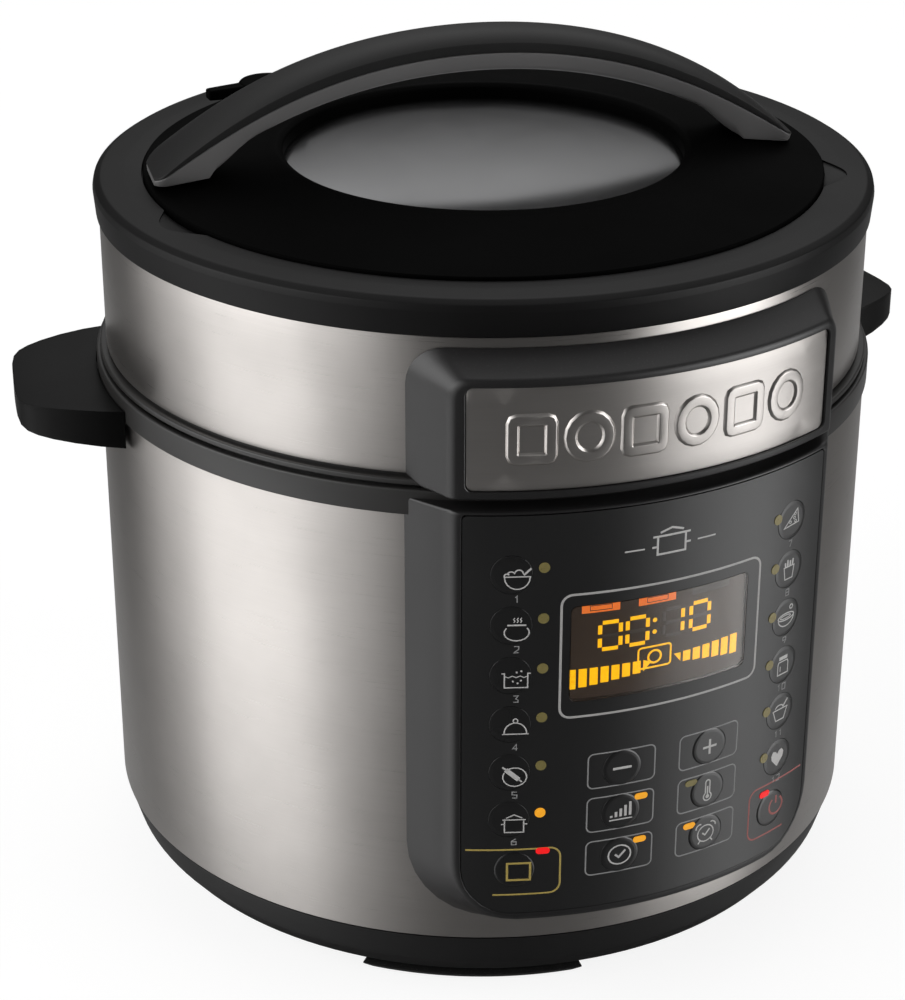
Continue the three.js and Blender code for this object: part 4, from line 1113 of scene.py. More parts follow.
class COOKER_OT_body(bpy.types.Operator):
    """Builds the brushed steel skin, the charcoal band and the two side handles"""

    bl_idname = "cooker.body"
    bl_label = "Body skin, band and handles"

    def execute(self, context):
        inner = SKIN_R - 0.8
        outline = [
            (inner, SKIN_LOW.z), (SKIN_R, SKIN_LOW.z, 0.3), (SKIN_R, SKIN_HIGH.z, 0.3), (inner, SKIN_HIGH.z),
        ]  # fmt: skip
        window = block((-60, -SKIN_R - 9, SKIN_LOW.z + 25), (60, -SKIN_R + 41, SKIN_HIGH.z - 25))
        gap = 0.4
        inlet = block((-15 - gap, 120, INLET_LOW.z + 5 - gap), (15 + gap, 170, INLET_LOW.z + 29 + gap))
        tube = turned(rounded(outline, 2), 192)
        piece("steel_wrap", tube, steel(), "body", ["body_skin"], cut=joined(window, inlet))
        low, high, r = BAND_LOW.z, BAND_HIGH.z, BAND_HIGH.x
        deck = OUTER_HIGH.x + 0.4
        outline = [
            (deck, low + 0.6), (SKIN_R - 2.5, low + 0.6), (SKIN_R - 2.5, low), (r, low, 0.5),
            (r, high, 0.8), (r - 2.5, high, 0.5), (r - 2.5, low + 3.1), (deck, low + 3.1),
        ]  # fmt: skip
        piece("charcoal_band", turned(rounded(outline), 192), band_grey(), "body", ["body_band"])
        for name in HANDLE_AZIMUTHS:
            self.handle(name)
        return {"FINISHED"}

    def handle(self, name):
        top, wall = HANDLE_HIGH.z, BAND_HIGH.x + 0.4
        # (reach from the band, half width)
        outline = [
            (0, 44.5), (8, 42.2), (16, 38.6), (23, 34.6),
            (28, 31.0), (31.2, 27.6), (33.2, 22.6), (33.9, 15),
        ]  # fmt: skip

        def solid(grow, low, high, tip_low, droop, across_steps=28):
            last = len(outline) - 1

            def place(u, v, w):
                out, half = outline[round(w * last)]
                out, half = out * HANDLE_REACH + grow * (1 if w > 0 else -1), half + grow
                across = (2 * u - 1) * half
                hollow = math.sqrt(wall**2 - across**2) - wall
                share = out / outline[-1][0]
                turn_in = 1 - 0.7 * min(1, max(0, share))
                height = lerp(lerp(low, tip_low, w), high - droop * max(0, share) ** 3, v)
                return (across, -(wall + out + hollow * turn_in), height)

            return shaped(across_steps, 6, last, place)

        body = solid(0, top - 15, top, top - 11, 2)
        pocket = solid(-3, top - 30, top - 5, top - 30, 0)
        turn = Matrix.Rotation(math.radians(HANDLE_AZIMUTHS[name]), 4, "Z")
        piece(
            "grip_" + name, moved(body, turn), handle_black(), "body",
            ["side_handle_" + name], cut=moved(pocket, turn), bevel=1.6, sharp=40,
        )  # fmt: skip


# ---- pots, heater and sensor -------------------------------------------------------------
class COOKER_OT_pots(bpy.types.Operator):
    """Builds the inner pot, the outer pot, the heater and the temperature sensor"""

    bl_idname = "cooker.pots"
    bl_label = "Pots, heater and sensor"

    def execute(self, context):
        floor, rim, bead = POT_LOW.z, POT_HIGH.z - 2.8, POT_HIGH.z
        r, wall, lip = 111, 1.4, POT_HIGH.x
        outline = [
            (0, floor), (r - 9, floor, 6), (r, floor + 9, 6), (r, rim, 1.2), (lip, rim, 0.8),
            (lip, bead, 0.8), (r - wall, bead, 1.2), (r - wall, floor + 10, 5), (r - 10, floor + wall, 5),
            (0, floor + wall),
        ]  # fmt: skip
        solid = turned(rounded(outline, 5), 144)
        pot = piece("cooking_pot", solid, aluminium(), "pot", ["inner_pot"])
        pot.data.materials.append(pot_coating())
        for face in pot.data.polygons:
            spot = face.center / MM
            radius = math.hypot(spot.x, spot.y)
            facing_in = face.normal.x * spot.x + face.normal.y * spot.y < -0.1 * radius
            if radius < r - 0.5 and (facing_in or face.normal.z > 0.3) and spot.z > floor + 1:
                face.material_index = 1
        self.outer()
        low, high = HEATER_LOW.z, HEATER_HIGH.z
        hole, edge = 18, HEATER_HIGH.x
        outline = [
            (hole, low), (edge, low, 1), (edge, high - 1.4, 1), (edge - 4, high, 1.5),
            (62, high), (60, high - 0.5), (58, high), (36, high), (34, high - 0.5), (32, high),
            (hole, high, 0.5),
        ]  # fmt: skip
        plate = turned(rounded(outline), 144)
        piece("hot_plate", plate, aluminium(), "body", ["heating_plate"])
        low, high = SENSOR_LOW.z, SENSOR_HIGH.z
        outline = [
            (0, low), (7.5, low), (15, low + 2, 0.5),
            (15, high - 0.2, 1), (13.5, high, 0.5), (0, high),
        ]  # fmt: skip
        button = turned(rounded(outline), 64)
        piece("sensor_button", button, aluminium(), "sensor", ["temperature_sensor"])
        recoat("power_board", board_green())
        self.spring()
        return {"FINISHED"}

    def spring(self):
        """The coil under the sensor, built at one length and given a mesh of its own."""
        low, high = corners("sensor_spring")
        wire, turns, steps = 0.8, 4, 24
        r = high.x - wire
        loops = []
        for i in range(turns * steps + 1):
            share = i / (turns * steps)
            a = 2 * math.pi * turns * share
            middle = lerp(low.z + wire, high.z - wire, share)
            loop = []
            for k in range(10):
                b = 2 * math.pi * k / 10
                out = r + wire * math.cos(b)
                loop.append((out * math.cos(a), out * math.sin(a), middle + wire * math.sin(b)))
            loops.append(loop)
        coil = piece("sensor_coil", lofted(loops), zinc(), "body", ["sensor_spring"])
        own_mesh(coil)

    def outer(self):
        floor = HEATER_LOW.z - 2.6
        t, wall, shelf, top = 2.2, OUTER_HIGH.x - 2.2, POT_LOW.z + 151.6, OUTER_HIGH.z
        side = 116
        outline = [
            (21, floor), (side + t, floor, 6), (side + t, shelf - t, 1), (wall + t, shelf - t, 1),
            (wall + t, top), (wall, top, 0.4), (wall, shelf, 1), (side, shelf, 1.5),
            (side, floor + t, 4), (21, floor + t),
        ]  # fmt: skip
        pot = turned(rounded(outline), 144)
        lugs = [
            bent_plate(12, top - 3.2, top, wall - 3.8, wall + 1, centre=60 * i, columns=12, rows=1)
            for i in range(6)
        ]
        posts = []
        for azimuth in SCREW_AZIMUTHS:
            outline = [(2.2, 6.9), (5, 6.9), (5, floor + 0.5), (2.2, floor + 0.5)]
            posts.append(moved(turned(outline, 32), Matrix.Translation(polar(azimuth, SCREW_PITCH_R, 0))))
        piece("heat_well", pot, aluminium(), "body", ["outer_pot"])
        piece("bayonet_lugs", joined(*lugs), aluminium(), "body", bevel=0.5)
        piece("well_posts", joined(*posts), aluminium(), "body")


def recoat(node_name, made):
    """Gives a frame part that stays in view its finish."""
    part = bpy.data.objects[node_name]
    if not part.material_slots:
        part.data.materials.append(made)
    for slot in part.material_slots:
        slot.material = made


# ---- control panel -----------------------------------------------------------------------
def panel_frame():
    """The panel's housing: sloped sides, a rounded front edge and a pocket for the overlay."""
    back_r, front_r = SKIN_R + 0.4, FACE_R
    face = shape("face_half")
    back = dict(low=PANEL_LOW.z + shape("foot_rise"), high=PANEL_HIGH.z)
    front_low = back["low"] + shape("face_sill")
    loops = []

    def at(share, r, inset=0.0):
        loops.append(
            bent_outline(
                lerp(HOUSING_HALF, face, share) - math.degrees(inset / r),
                lerp(back["low"], front_low, share) + inset,
                back["high"] - inset * 0.5,
                r,
                lerp(31, 24, share) - inset * 0.4,
                1.2 + 0.6 * share,
            )
        )

    loops.append(bent_outline(HOUSING_HALF - 1.4, back["low"] + 2.5, PANEL_HIGH.z - 2.5, back_r, 28.5, 1))
    at(0, back_r)
    at(0.4, lerp(back_r, front_r, 0.36))
    at(0.74, lerp(back_r, front_r, 0.70))
    for turn in (0, 22, 45, 68, 90):
        a = math.radians(turn)
        at(0.86 + 0.10 * math.sin(a), front_r - 2.0 * (1 - math.sin(a)), 2.0 * (1 - math.cos(a)))
    gap = 0.3
    pocket = dict(
        half=OVERLAY_HALF + math.degrees(gap / front_r),
        low=OVERLAY_LOW.z - gap,
        high=OVERLAY_HIGH.z + gap,
    )

    def pocket_loop(r, inset):
        loops.append(
            bent_outline(
                pocket["half"] - math.degrees(inset / r), pocket["low"] + inset, pocket["high"] - inset,
                r, max(1.5, 19.3 - inset), 1.5,
            )
        )  # fmt: skip

    pocket_loop(front_r, -0.25)
    pocket_loop(front_r - 0.25, 0)
    pocket_loop(front_r - 2.3, 0)
    pocket_loop(front_r - 2.3, 9)
    pocket_loop(front_r - 4.8, 9)
    loops.append(bent_outline(face - 1.4, front_low + 2.5, PANEL_HIGH.z - 2.5, front_r - 4.8, 21, 1))
    return lofted(loops, ring=True)


KEY_NAMES = ["minus", "level", "clock", "plus", "temperature", "delay", "stop", "power"]
PROGRAMME_NAMES = [f"{side}_{row}" for side in ("left", "right") for row in range(1, 7)]


def key_place(name):
    """Azimuth and height of a key's middle, and its radius."""
    low, high = corners("button_" + name)
    middle = (low + high) / 2
    return math.degrees(math.atan2(middle.x, -middle.y)), middle.z, (high.z - low.z) / 2


class COOKER_OT_panel(bpy.types.Operator):
    """Builds the control panel's housing, overlay film, display and lens"""

    bl_idname = "cooker.panel"
    bl_label = "Control panel"

    def execute(self, context):
        frame_solid = panel_frame()
        piece("panel_frame", frame_solid, housing_black(), "body", ["panel_housing"], sharp=40)
        low, high = OVERLAY_LOW.z, OVERLAY_HIGH.z
        overlay = bent_plate(OVERLAY_HALF, low, high, FACE_R - 1.1, FACE_R, 19, 1.5, columns=60, rows=24)
        sill, head = LENS_LOW.z - 0.2, LENS_HIGH.z + 0.2
        window = bent_plate(LENS_HALF + 0.08, sill, head, FACE_R - 4, FACE_R + 3, 2.6)
        holes = [window]
        for name in KEY_NAMES + PROGRAMME_NAMES:
            azimuth, z, r = key_place(name)
            holes.append(moved(rod(r + 0.12, -4, 4, 64), facing(azimuth, FACE_R, z)))
        film = piece(
            "overlay_film", overlay, overlay_film(), "body", ["control_overlay"],
            cut=joined(*holes), sharp=20,
        )  # fmt: skip
        radial_normals(film, FACE_R)
        recoat("switch_film", housing_black())
        glass = bent_plate(LENS_HALF, LENS_LOW.z, LENS_HIGH.z, FACE_R - 1.1, FACE_R, 2.4)
        lens = piece("display_glass", glass, smoked_glass(), "body", ["display_lens"], sharp=20)
        radial_normals(lens, FACE_R)
        ground = bent_plate(LENS_HALF, LENS_LOW.z, LENS_HIGH.z, SKIN_R + 3.5, FACE_R - 1.7, 2.4)
        piece("display_block", ground, display_black(), "body", ["display_module"], sharp=20)
        self.display()
        return {"FINISHED"}

    def display(self):
        """The lit segments, bars and tabs behind the glass."""
        r = FACE_R - 1.7
        lit, ghost = Print(1.55, 0.1), Print(1.4, 0.06)
        tabs, dim = Print(thickness=0.1), Print(thickness=0.06)
        digits = (("0", -20.3, 162.2), ("0", -10.0, 162.3), ("1", 4.0, 163.3), ("0", 15.1, 163.3))
        for number, s, z in digits:
            for key, (a, b) in segment_paths(7.7, 10.6, 0.9).items():
                out = lit if key in SEGMENTS[number] else ghost
                out.line((s + a[0], z + a[1]), (s + b[0], z + b[1]))
        lit.spot(-3.4, 165.4, 0.85).spot(-3.4, 160.7, 0.85)
        for i in range(8):
            s = -34.2 + 4.05 * i
            bottom = lerp(142.0, 145.4, i / 7)
            if i < 7:
                lit.box(s - 1.5, bottom, s + 1.5, 149.9)
            else:
                lit.fill((s - 1.5, bottom), (s + 1.5, 149.9 - 1.2), (s - 1.5, 149.9))
        for i in range(7):
            s = 6.0 + 4.1 * i
            top = lerp(149.9, 151.3, i / 6)
            bottom = lerp(146.5, 143.4, i / 6)
            if i:
                lit.box(s - 1.5, bottom, s + 1.5, top)
            else:
                lit.fill((s + 1.5, bottom), (s + 1.5, top), (s - 1.2, top))
        pot = Print(0.7, 0.1)
        corners_of = rounded_rect(-3.0, 150.6, 6.4, 4.2, 1.2)
        pot.line(*corners_of, closed=True).arc(-3.0, 150.6, 2.5, width=0.8)
        tabs.box(-31, 172.0, -17, 175.6).box(-9.9, 172.0, 4.6, 175.6)
        dim.box(11.4, 172.0, 27.3, 175.6)
        shades = (
            ("lit_segments", lit, segment_lamp), ("unlit_segments", ghost, ghost_lamp),
            ("pot_sign", pot, segment_lamp),
            ("lit_tabs", tabs, tab_lamp), ("unlit_tab", dim, ghost_lamp),
        )  # fmt: skip
        for name, drawn, lamp in shades:
            piece(name, drawn.laid(0, r, 0), lamp(), "body", sharp=60)
        marks = Print(0.35, 0.14)
        for middle in (-24, -2.6):
            left, right = middle - 4, middle + 4
            marks.line((left, 172.9), (right, 172.9), (right, 174.8), (left, 174.8), closed=True)
        piece("tab_marks", marks.laid(0, r, 0), ghost_lamp(), "body", sharp=60)


# How far an icon stands from the middle of its key.
ICON_SHIFTS = {"stop": (1.6, -0.8), "power": (2.9, 0.6)}


class COOKER_OT_keys(bpy.types.Operator):
    """Builds the twenty keys with their icons"""

    bl_idname = "cooker.keys"
    bl_label = "Keys"

    def execute(self, context):
        for name in KEY_NAMES + PROGRAMME_NAMES:
            azimuth, z, r = key_place(name)
            programme = name in PROGRAMME_NAMES
            base = FACE_R - 0.95
            crown = FACE_R + (0.12 if programme else 0.3)
            outline = [
                (0, base), (r, base), (r, FACE_R - 0.05, 0.12),
                (r - 0.5, crown - 0.12, 0.3), (r - 1.4, crown, 0.5), (0, crown),
            ]  # fmt: skip
            dome = moved(turned(rounded(outline), 72), facing(azimuth, 0, z))
            piece("key_" + name, dome, key_film(), "key_" + name, ["button_" + name], sharp=50)
            sheet = Print(0.5, 0.05)
            self.icon(name)(sheet)
            dx, dz = ICON_SHIFTS.get(name, (2.0, -1.6) if name.startswith("left_") else (0.0, 0.0))
            sheet.points = [(x * 0.92 + dx, y * 0.92 + dz, lift) for x, y, lift in sheet.points]
            ink_of = {"stop": gold_ink, "power": rose_ink}.get(name, white_ink)
            mark = sheet.flat_on(azimuth, crown, z)
            piece("icon_" + name, mark, ink_of(), "key_" + name, sharp=60)
        return {"FINISHED"}

    def icon(self, name):
        if name in KEY_ICONS:
            return KEY_ICONS[name]
        side, row = name.split("_")
        return (LEFT_ICONS if side == "left" else RIGHT_ICONS)[int(row) - 1]


class COOKER_OT_prints(bpy.types.Operator):
    """Lays the printed outlines, numerals and lamps on the overlay"""

    bl_idname = "cooker.prints"
    bl_label = "Overlay prints and lamps"

    def execute(self, context):
        frame_line = Print(0.9)
        frame_line.line(*rounded_rect(1.1, 155.9, 40.1, 24.6, 4), closed=True)
        self.lay("display_outline", frame_line, line_ink)
        outlines = Print(0.55)
        for name in ("minus", "level", "clock", "plus", "temperature", "delay"):
            azimuth, z, _ = key_place(name)
            s = math.radians(azimuth) * FACE_R
            outlines.line(*rounded_rect(s, z, 13.0, 7.2, 2.2), closed=True)
        self.lay("key_outlines", outlines, grey_ink)
        self.corner_outline("stop", -1, gold_ink)
        self.corner_outline("power", 1, rose_ink)
        unlit, amber, red = Print(thickness=0.25), Print(thickness=0.25), Print(thickness=0.25)
        for side in (-1, 1):
            for row in range(6):
                azimuth, z, _ = key_place(f"{'left' if side < 0 else 'right'}_{row + 1}")
                s = math.radians(azimuth) * FACE_R
                out = amber if side < 0 and row == 5 else unlit
                out.spot(s + (11.4 if side < 0 else -7.6), z + 2.4, 2.0)
        for name, out in (("level", amber), ("clock", amber), ("temperature", unlit), ("delay", amber)):
            azimuth, z, _ = key_place(name)
            s = math.radians(azimuth) * FACE_R
            out.pill(s + (7.9 if name in ("level", "clock") else -7.4), z + 5.0, 2.6, 1.25)
        for name, dx in (("stop", 10.4), ("power", -3.8)):
            azimuth, z, _ = key_place(name)
            red.pill(math.radians(azimuth) * FACE_R + dx, z + 7.6, 2.6, 1.3)
        self.lay("unlit_lamps", unlit, dark_lamp)
        self.lay("amber_lamps", amber, amber_lamp)
        self.lay("red_lamps", red, red_lamp)
        self.numbers()
        emblem = Print(0.8)
        emblem.line((-5.5, 3.0), (-5.5, -3.6), (5.5, -3.6), (5.5, 3.0)).line((-7.4, 3.4), (7.4, 3.4))
        emblem.line((-4.6, 4.8), (0, 6.2), (4.6, 4.8))
        emblem.line((-7.6, -0.6), (-5.5, -0.6)).line((5.5, -0.6), (7.6, -0.6))
        emblem.line((-18, -0.6), (-10.5, -0.6), width=0.6).line((10.5, -0.6), (18, -0.6), width=0.6)
        emblem.points = [(x + 1.4, y + 195.5, lift) for x, y, lift in emblem.points]
        self.lay("pot_emblem", emblem, white_ink)
        return {"FINISHED"}

    def lay(self, name, drawn, ink_of):
        piece(name, drawn.laid(0, FACE_R, 0), ink_of(), "body", sharp=60)

    def corner_outline(self, name, side, ink_of):
        azimuth, z, _ = key_place(name)
        s = math.radians(azimuth) * FACE_R
        edge = side * (math.radians(OVERLAY_HALF) * FACE_R - 1.5)
        inner = s - side * (17.0 if side < 0 else 11.8)
        top, bottom = z + (8.6 if side < 0 else 11.2), z - 10.9
        path = [(edge, top), (inner + side * 4, top)]
        for k in range(1, 7):
            a = math.radians(90 * k / 6)
            path.append((inner + side * 4 * (1 - math.sin(a)), top - 4 * (1 - math.cos(a))))
        path.append((inner, bottom + 4))
        for k in range(1, 7):
            a = math.radians(90 * k / 6)
            path.append((inner + side * 4 * (1 - math.cos(a)), bottom + 4 * (1 - math.sin(a))))
        path.append((edge - side * 10, bottom))
        self.lay(name + "_outline", Print(0.7).line(*path), ink_of)

    def numbers(self):
        """Programme numbers under the icons, in plain strokes."""
        sheet = Print(0.42)
        for index, name in enumerate(PROGRAMME_NAMES):
            azimuth, z, _ = key_place(name)
            s = math.radians(azimuth) * FACE_R
            text = str(index + 1)
            for k, figure in enumerate(text):
                x = s + (2.0 if name.startswith("left_") else 0.0) + (k - (len(text) - 1) / 2) * 2.6
                for stroke in FIGURES[figure]:
                    sheet.line(*[(x + 0.85 * p, z - 9.6 + 1.25 * q) for p, q in stroke])
        self.lay("programme_numbers", sheet, grey_ink)


FIGURES = {
    "0": [[(-1, 1), (1, 1), (1, -1), (-1, -1), (-1, 1)]],
    "1": [[(-0.7, 0.5), (0, 1), (0, -1)]],
    "2": [[(-1, 1), (1, 1), (1, 0.1), (-1, -1), (1, -1)]],
    "3": [[(-1, 1), (1, 1), (0, 0.1), (1, -0.4), (1, -1), (-1, -1)]],
    "4": [[(0.5, -1), (0.5, 1), (-1, -0.4), (1, -0.4)]],
    "5": [[(1, 1), (-1, 1), (-1, 0.1), (1, 0), (1, -1), (-1, -1)]],
    "6": [[(0.8, 1), (-1, 0.2), (-1, -1), (1, -1), (1, 0), (-1, 0)]],
    "7": [[(-1, 1), (1, 1), (-0.2, -1)]],
    "8": [[(-1, 1), (1, 1), (1, -1), (-1, -1), (-1, 1)], [(-1, 0), (1, 0)]],
    "9": [[(1, 0), (-1, 0), (-1, 1), (1, 1), (1, 0), (0, -1)]],
}


# ---- lid ---------------------------------------------------------------------------------
def cover_r():
    """The cover's edge closes the gap to the lid's rim."""
    return COVER_HIGH.x + 1.8


def cover_top(r):
    """Height of the cover's upper face at a radius."""
    return lerp(LIP_TOP, RING_HIGH.z + 1.2, (r - shape("opening_r")) / (cover_r() - shape("opening_r")))


VALVE_AZIMUTH, FLOAT_AZIMUTH, VALVE_PITCH_R = -146, -176, 102


class COOKER_OT_lid(bpy.types.Operator):
    """Builds the lid's lip, brushed skirt, black ring and cover"""

    bl_idname = "cooker.lid"
    bl_label = "Lid shell"

    def execute(self, context):
        tongue = SKIRT_HIGH.x - 1.2
        low, high = LIP_LOW.z, LIP_LOW.z + 2.2
        outline = [
            (tongue - 8, low), (LIP_HIGH.x, low, 0.5), (LIP_HIGH.x, high, 0.9), (tongue, high),
            (tongue, LIP_HIGH.z), (tongue - 2, LIP_HIGH.z), (tongue - 2, high), (tongue - 8, high),
        ]  # fmt: skip
        lip = turned(rounded(outline), 192)
        piece("lid_foot_ring", lip, band_grey(), "lid", ["lid_lip_ring"])
        inner, r = SKIRT_HIGH.x - 0.8, SKIRT_HIGH.x
        outline = [(inner, SKIRT_LOW.z), (r, SKIRT_LOW.z, 0.3), (r, SKIRT_HIGH.z, 0.3), (inner, SKIRT_HIGH.z)]
        piece("lid_wrap", turned(rounded(outline, 2), 192), steel(), "lid", ["lid_skirt"])
        low, top, r = RING_LOW.z, RING_HIGH.z, RING_HIGH.x - 1.4
        edge = cover_r() + 0.4
        outline = [
            (edge - 1.6, top - 3.6), (r - 4, top - 3.6, 1), (r - 2.5, low), (r - 0.8, low, 0.5),
            (r, top - 4.4, 1.5), (r - 0.5, top - 2.0, 1.2), (r - 3.0, top - 0.4, 2), (r - 12, top, 4),
            (edge, top, 0.3),
            (edge, top - 2.2), (edge - 1.6, top - 2.2),
        ]  # fmt: skip
        recesses = []
        for end in (90, -90):
            recesses.append(self.recess(end + shape("arch_turn") - math.copysign(20, end)))
        ring = turned(rounded(outline), 192)
        piece(
            "lid_rim", ring, ring_black(), "lid",
            ["lid_ring"], cut=joined(*recesses), bevel=0.25,
        )  # fmt: skip
        self.cover()
        return {"FINISHED"}

    def recess(self, azimuth):
        """The lens-shaped finger recess beside a foot of the arch."""
        inner, top = cover_r() - 1, RING_HIGH.z

        def place(u, v, w):
            reach = 8.2 * max(0.0, math.sin(math.pi * lerp(0.03, 0.97, u))) ** 1.3
            depth = lerp(1.7, 0.7, w)
            r = lerp(inner, inner + 1.4 + reach, w)
            return polar(azimuth + (2 * u - 1) * 7, r, lerp(top - depth, top + 4, v))

        return shaped(32, 1, 4, place)

    def cover(self):
        opening, r, top = shape("opening_r"), cover_r(), COVER_HIGH.z
        edge_top = cover_top(r)
        outline = [
            (opening, top - 7), (opening + 2.2, top - 7), (opening + 3, top - 2.8), (r - 2, edge_top - 2.6),
            (r, edge_top - 3.4), (r, edge_top, 0.8), (opening + 7, cover_top(opening + 7), 3),
            (opening + 2.5, top, 2.2), (opening, top - 1.4, 1.2),
        ]  # fmt: skip
        cover = turned(rounded(outline), 192)
        holes = []
        for azimuth, hole in ((VALVE_AZIMUTH, 15), (FLOAT_AZIMUTH, 5)):
            spot = Matrix.Translation(polar(azimuth, VALVE_PITCH_R, 0))
            holes.append(moved(rod(hole, top - 18, top + 10, 64), spot))
        piece(
            "lid_top", cover, cover_black(), "lid",
            ["lid_cover"], cut=joined(*holes), bevel=0.35,
        )  # fmt: skip


def dome_top(r):
    q = r / DOME_HIGH.y
    return DOME_HIGH.z - 8 * q**2 - 26 * q**8


class COOKER_OT_pressure_lid(bpy.types.Operator):
    """Builds the steel pressure lid with its gasket, inner plate and two valves"""

    bl_idname = "cooker.pressure_lid"
    bl_label = "Pressure lid and valves"

    def execute(self, context):
        r, t = DOME_HIGH.y, 1.6
        shares = (0, 0.1, 0.2, 0.3, 0.4, 0.5, 0.6, 0.7, 0.77, 0.83, 0.88, 0.92, 0.95, 0.975, 0.99, 1)
        radii = [r * q for q in shares]
        outside = [(a, dome_top(a)) for a in reversed(radii)]
        inside = [(max(0.0, a - t * 0.8), dome_top(a) - t) for a in radii]
        low = DOME_LOW.z
        shell = turned([*inside, (r - t, low), (r, low), *outside], 144)
        holes = []
        for azimuth, hole in ((VALVE_AZIMUTH, 4.4), (FLOAT_AZIMUTH, 3.9)):
            spot = Matrix.Translation(polar(azimuth, VALVE_PITCH_R, 0))
            holes.append(moved(rod(hole, DOME_HIGH.z - 60, DOME_HIGH.z + 10, 48), spot))
        piece("steel_dome", shell, dome_steel(), "lid", ["pressure_lid"], cut=joined(*holes))
        lug_top = OUTER_HIGH.z - 4.2
        lugs = [
            bent_plate(12, lug_top - 3.2, lug_top, r - 0.8, r + 3.8, centre=30 + 60 * i, columns=12, rows=1)
            for i in range(6)
        ]
        piece("dome_lugs", joined(*lugs), dome_steel(), "lid", bevel=0.5)
        pin = turned(rounded([(0, 214), (3, 214, 0.8), (3, DOME_HIGH.z - 0.8), (0, DOME_HIGH.z - 0.8)]), 32)
        piece("plate_pin", pin, dome_steel(), "lid")
        self.inner_lid()
        self.valves()
        return {"FINISHED"}

    def inner_lid(self):
        outer, inner = GASKET_HIGH.x, GASKET_HIGH.x - 15
        low, high = GASKET_LOW.z, GASKET_HIGH.z
        outline = [
            (inner, low + 0.8, 0.6), (inner + 5, low, 1), (outer, low, 1), (outer, high - 1.2, 1.2),
            (outer - 1.5, high, 0.8), (inner + 5, high, 1), (inner, high - 0.8, 0.6),
        ]  # fmt: skip
        seal = turned(rounded(outline), 144)
        piece("lid_seal", seal, silicone(), "inner_lid", ["sealing_gasket"])
        r, z = PLATE_HIGH.x, PLATE_HIGH.z - 1.5
        outline = [
            (4, z - 2), (r - 14, z - 2, 2), (r, z, 0.6),
            (r, z + 1.5, 0.6), (r - 14, z - 0.5, 2), (4, z - 0.5),
        ]  # fmt: skip
        plate = turned(rounded(outline), 144)
        piece("inner_plate", plate, aluminium(), "inner_lid", ["inner_lid_plate"])
        low, high = GROMMET_LOW.z, GROMMET_HIGH.z
        outline = [(0, low), (8, low, 1), (9, low + 2, 0.8), (9, high, 0.8), (0, high)]
        grommet = turned(rounded(outline), 48)
        piece("centre_grommet", grommet, silicone(), "inner_lid", ["plate_grommet"])

    def valves(self):
        under = dome_top(VALVE_PITCH_R) - 12
        over = dome_top(VALVE_PITCH_R) + 3
        spot = Matrix.Translation(polar(VALVE_AZIMUTH, VALVE_PITCH_R, 0))
        outline = [
            (0, under), (4, under, 0.8), (4, over),
            (2.5, over + 1), (2.5, LIP_TOP - 2, 0.5), (0, LIP_TOP - 2),
        ]  # fmt: skip
        piece("steam_stem", moved(turned(rounded(outline), 40), spot), zinc(), "lid", ["valve_stem"])
        low, high = LIP_TOP - 6, LIP_TOP + 8
        outline = [
            (2.9, low), (13, low, 0.8), (13, high - 3, 2), (11.5, high - 0.4, 1.5), (8, high, 1), (0, high),
            (0, LIP_TOP - 1.6), (2.9, LIP_TOP - 1.6),
        ]  # fmt: skip
        turn = spot @ Matrix.Rotation(math.radians(VALVE_AZIMUTH + 55), 4, "Z")
        piece(
            "steam_knob", moved(turned(rounded(outline), 64), turn), cover_black(), "steam_valve",
            ["valve_knob"],
        )  # fmt: skip

        def tab(u, v, w):
            half = 3.5 * (1 - 0.25 * (1 - v) ** 2)
            return ((2 * u - 1) * half, lerp(-25.8, -8, v), lerp(high - 5.5, high - 0.6 - 0.8 * (1 - v), w))

        grip = moved(shaped(6, 10, 4, tab), turn)
        piece("steam_lever", grip, cover_black(), "steam_valve", bevel=0.9)
        spot = Matrix.Translation(polar(FLOAT_AZIMUTH, VALVE_PITCH_R, 0))
        flange = dome_top(VALVE_PITCH_R) - 12
        top = LIP_TOP - 2.7
        outline = [
            (0, flange - 2), (6, flange - 2, 0.6), (6, flange, 0.6),
            (3.5, flange), (3.5, top - 1, 0.9), (2.6, top, 0.5), (0, top),
        ]  # fmt: skip
        piece(
            "pressure_float", moved(turned(rounded(outline), 40), spot), float_red(), "pressure_pin",
            ["float_valve"],
        )  # fmt: skip


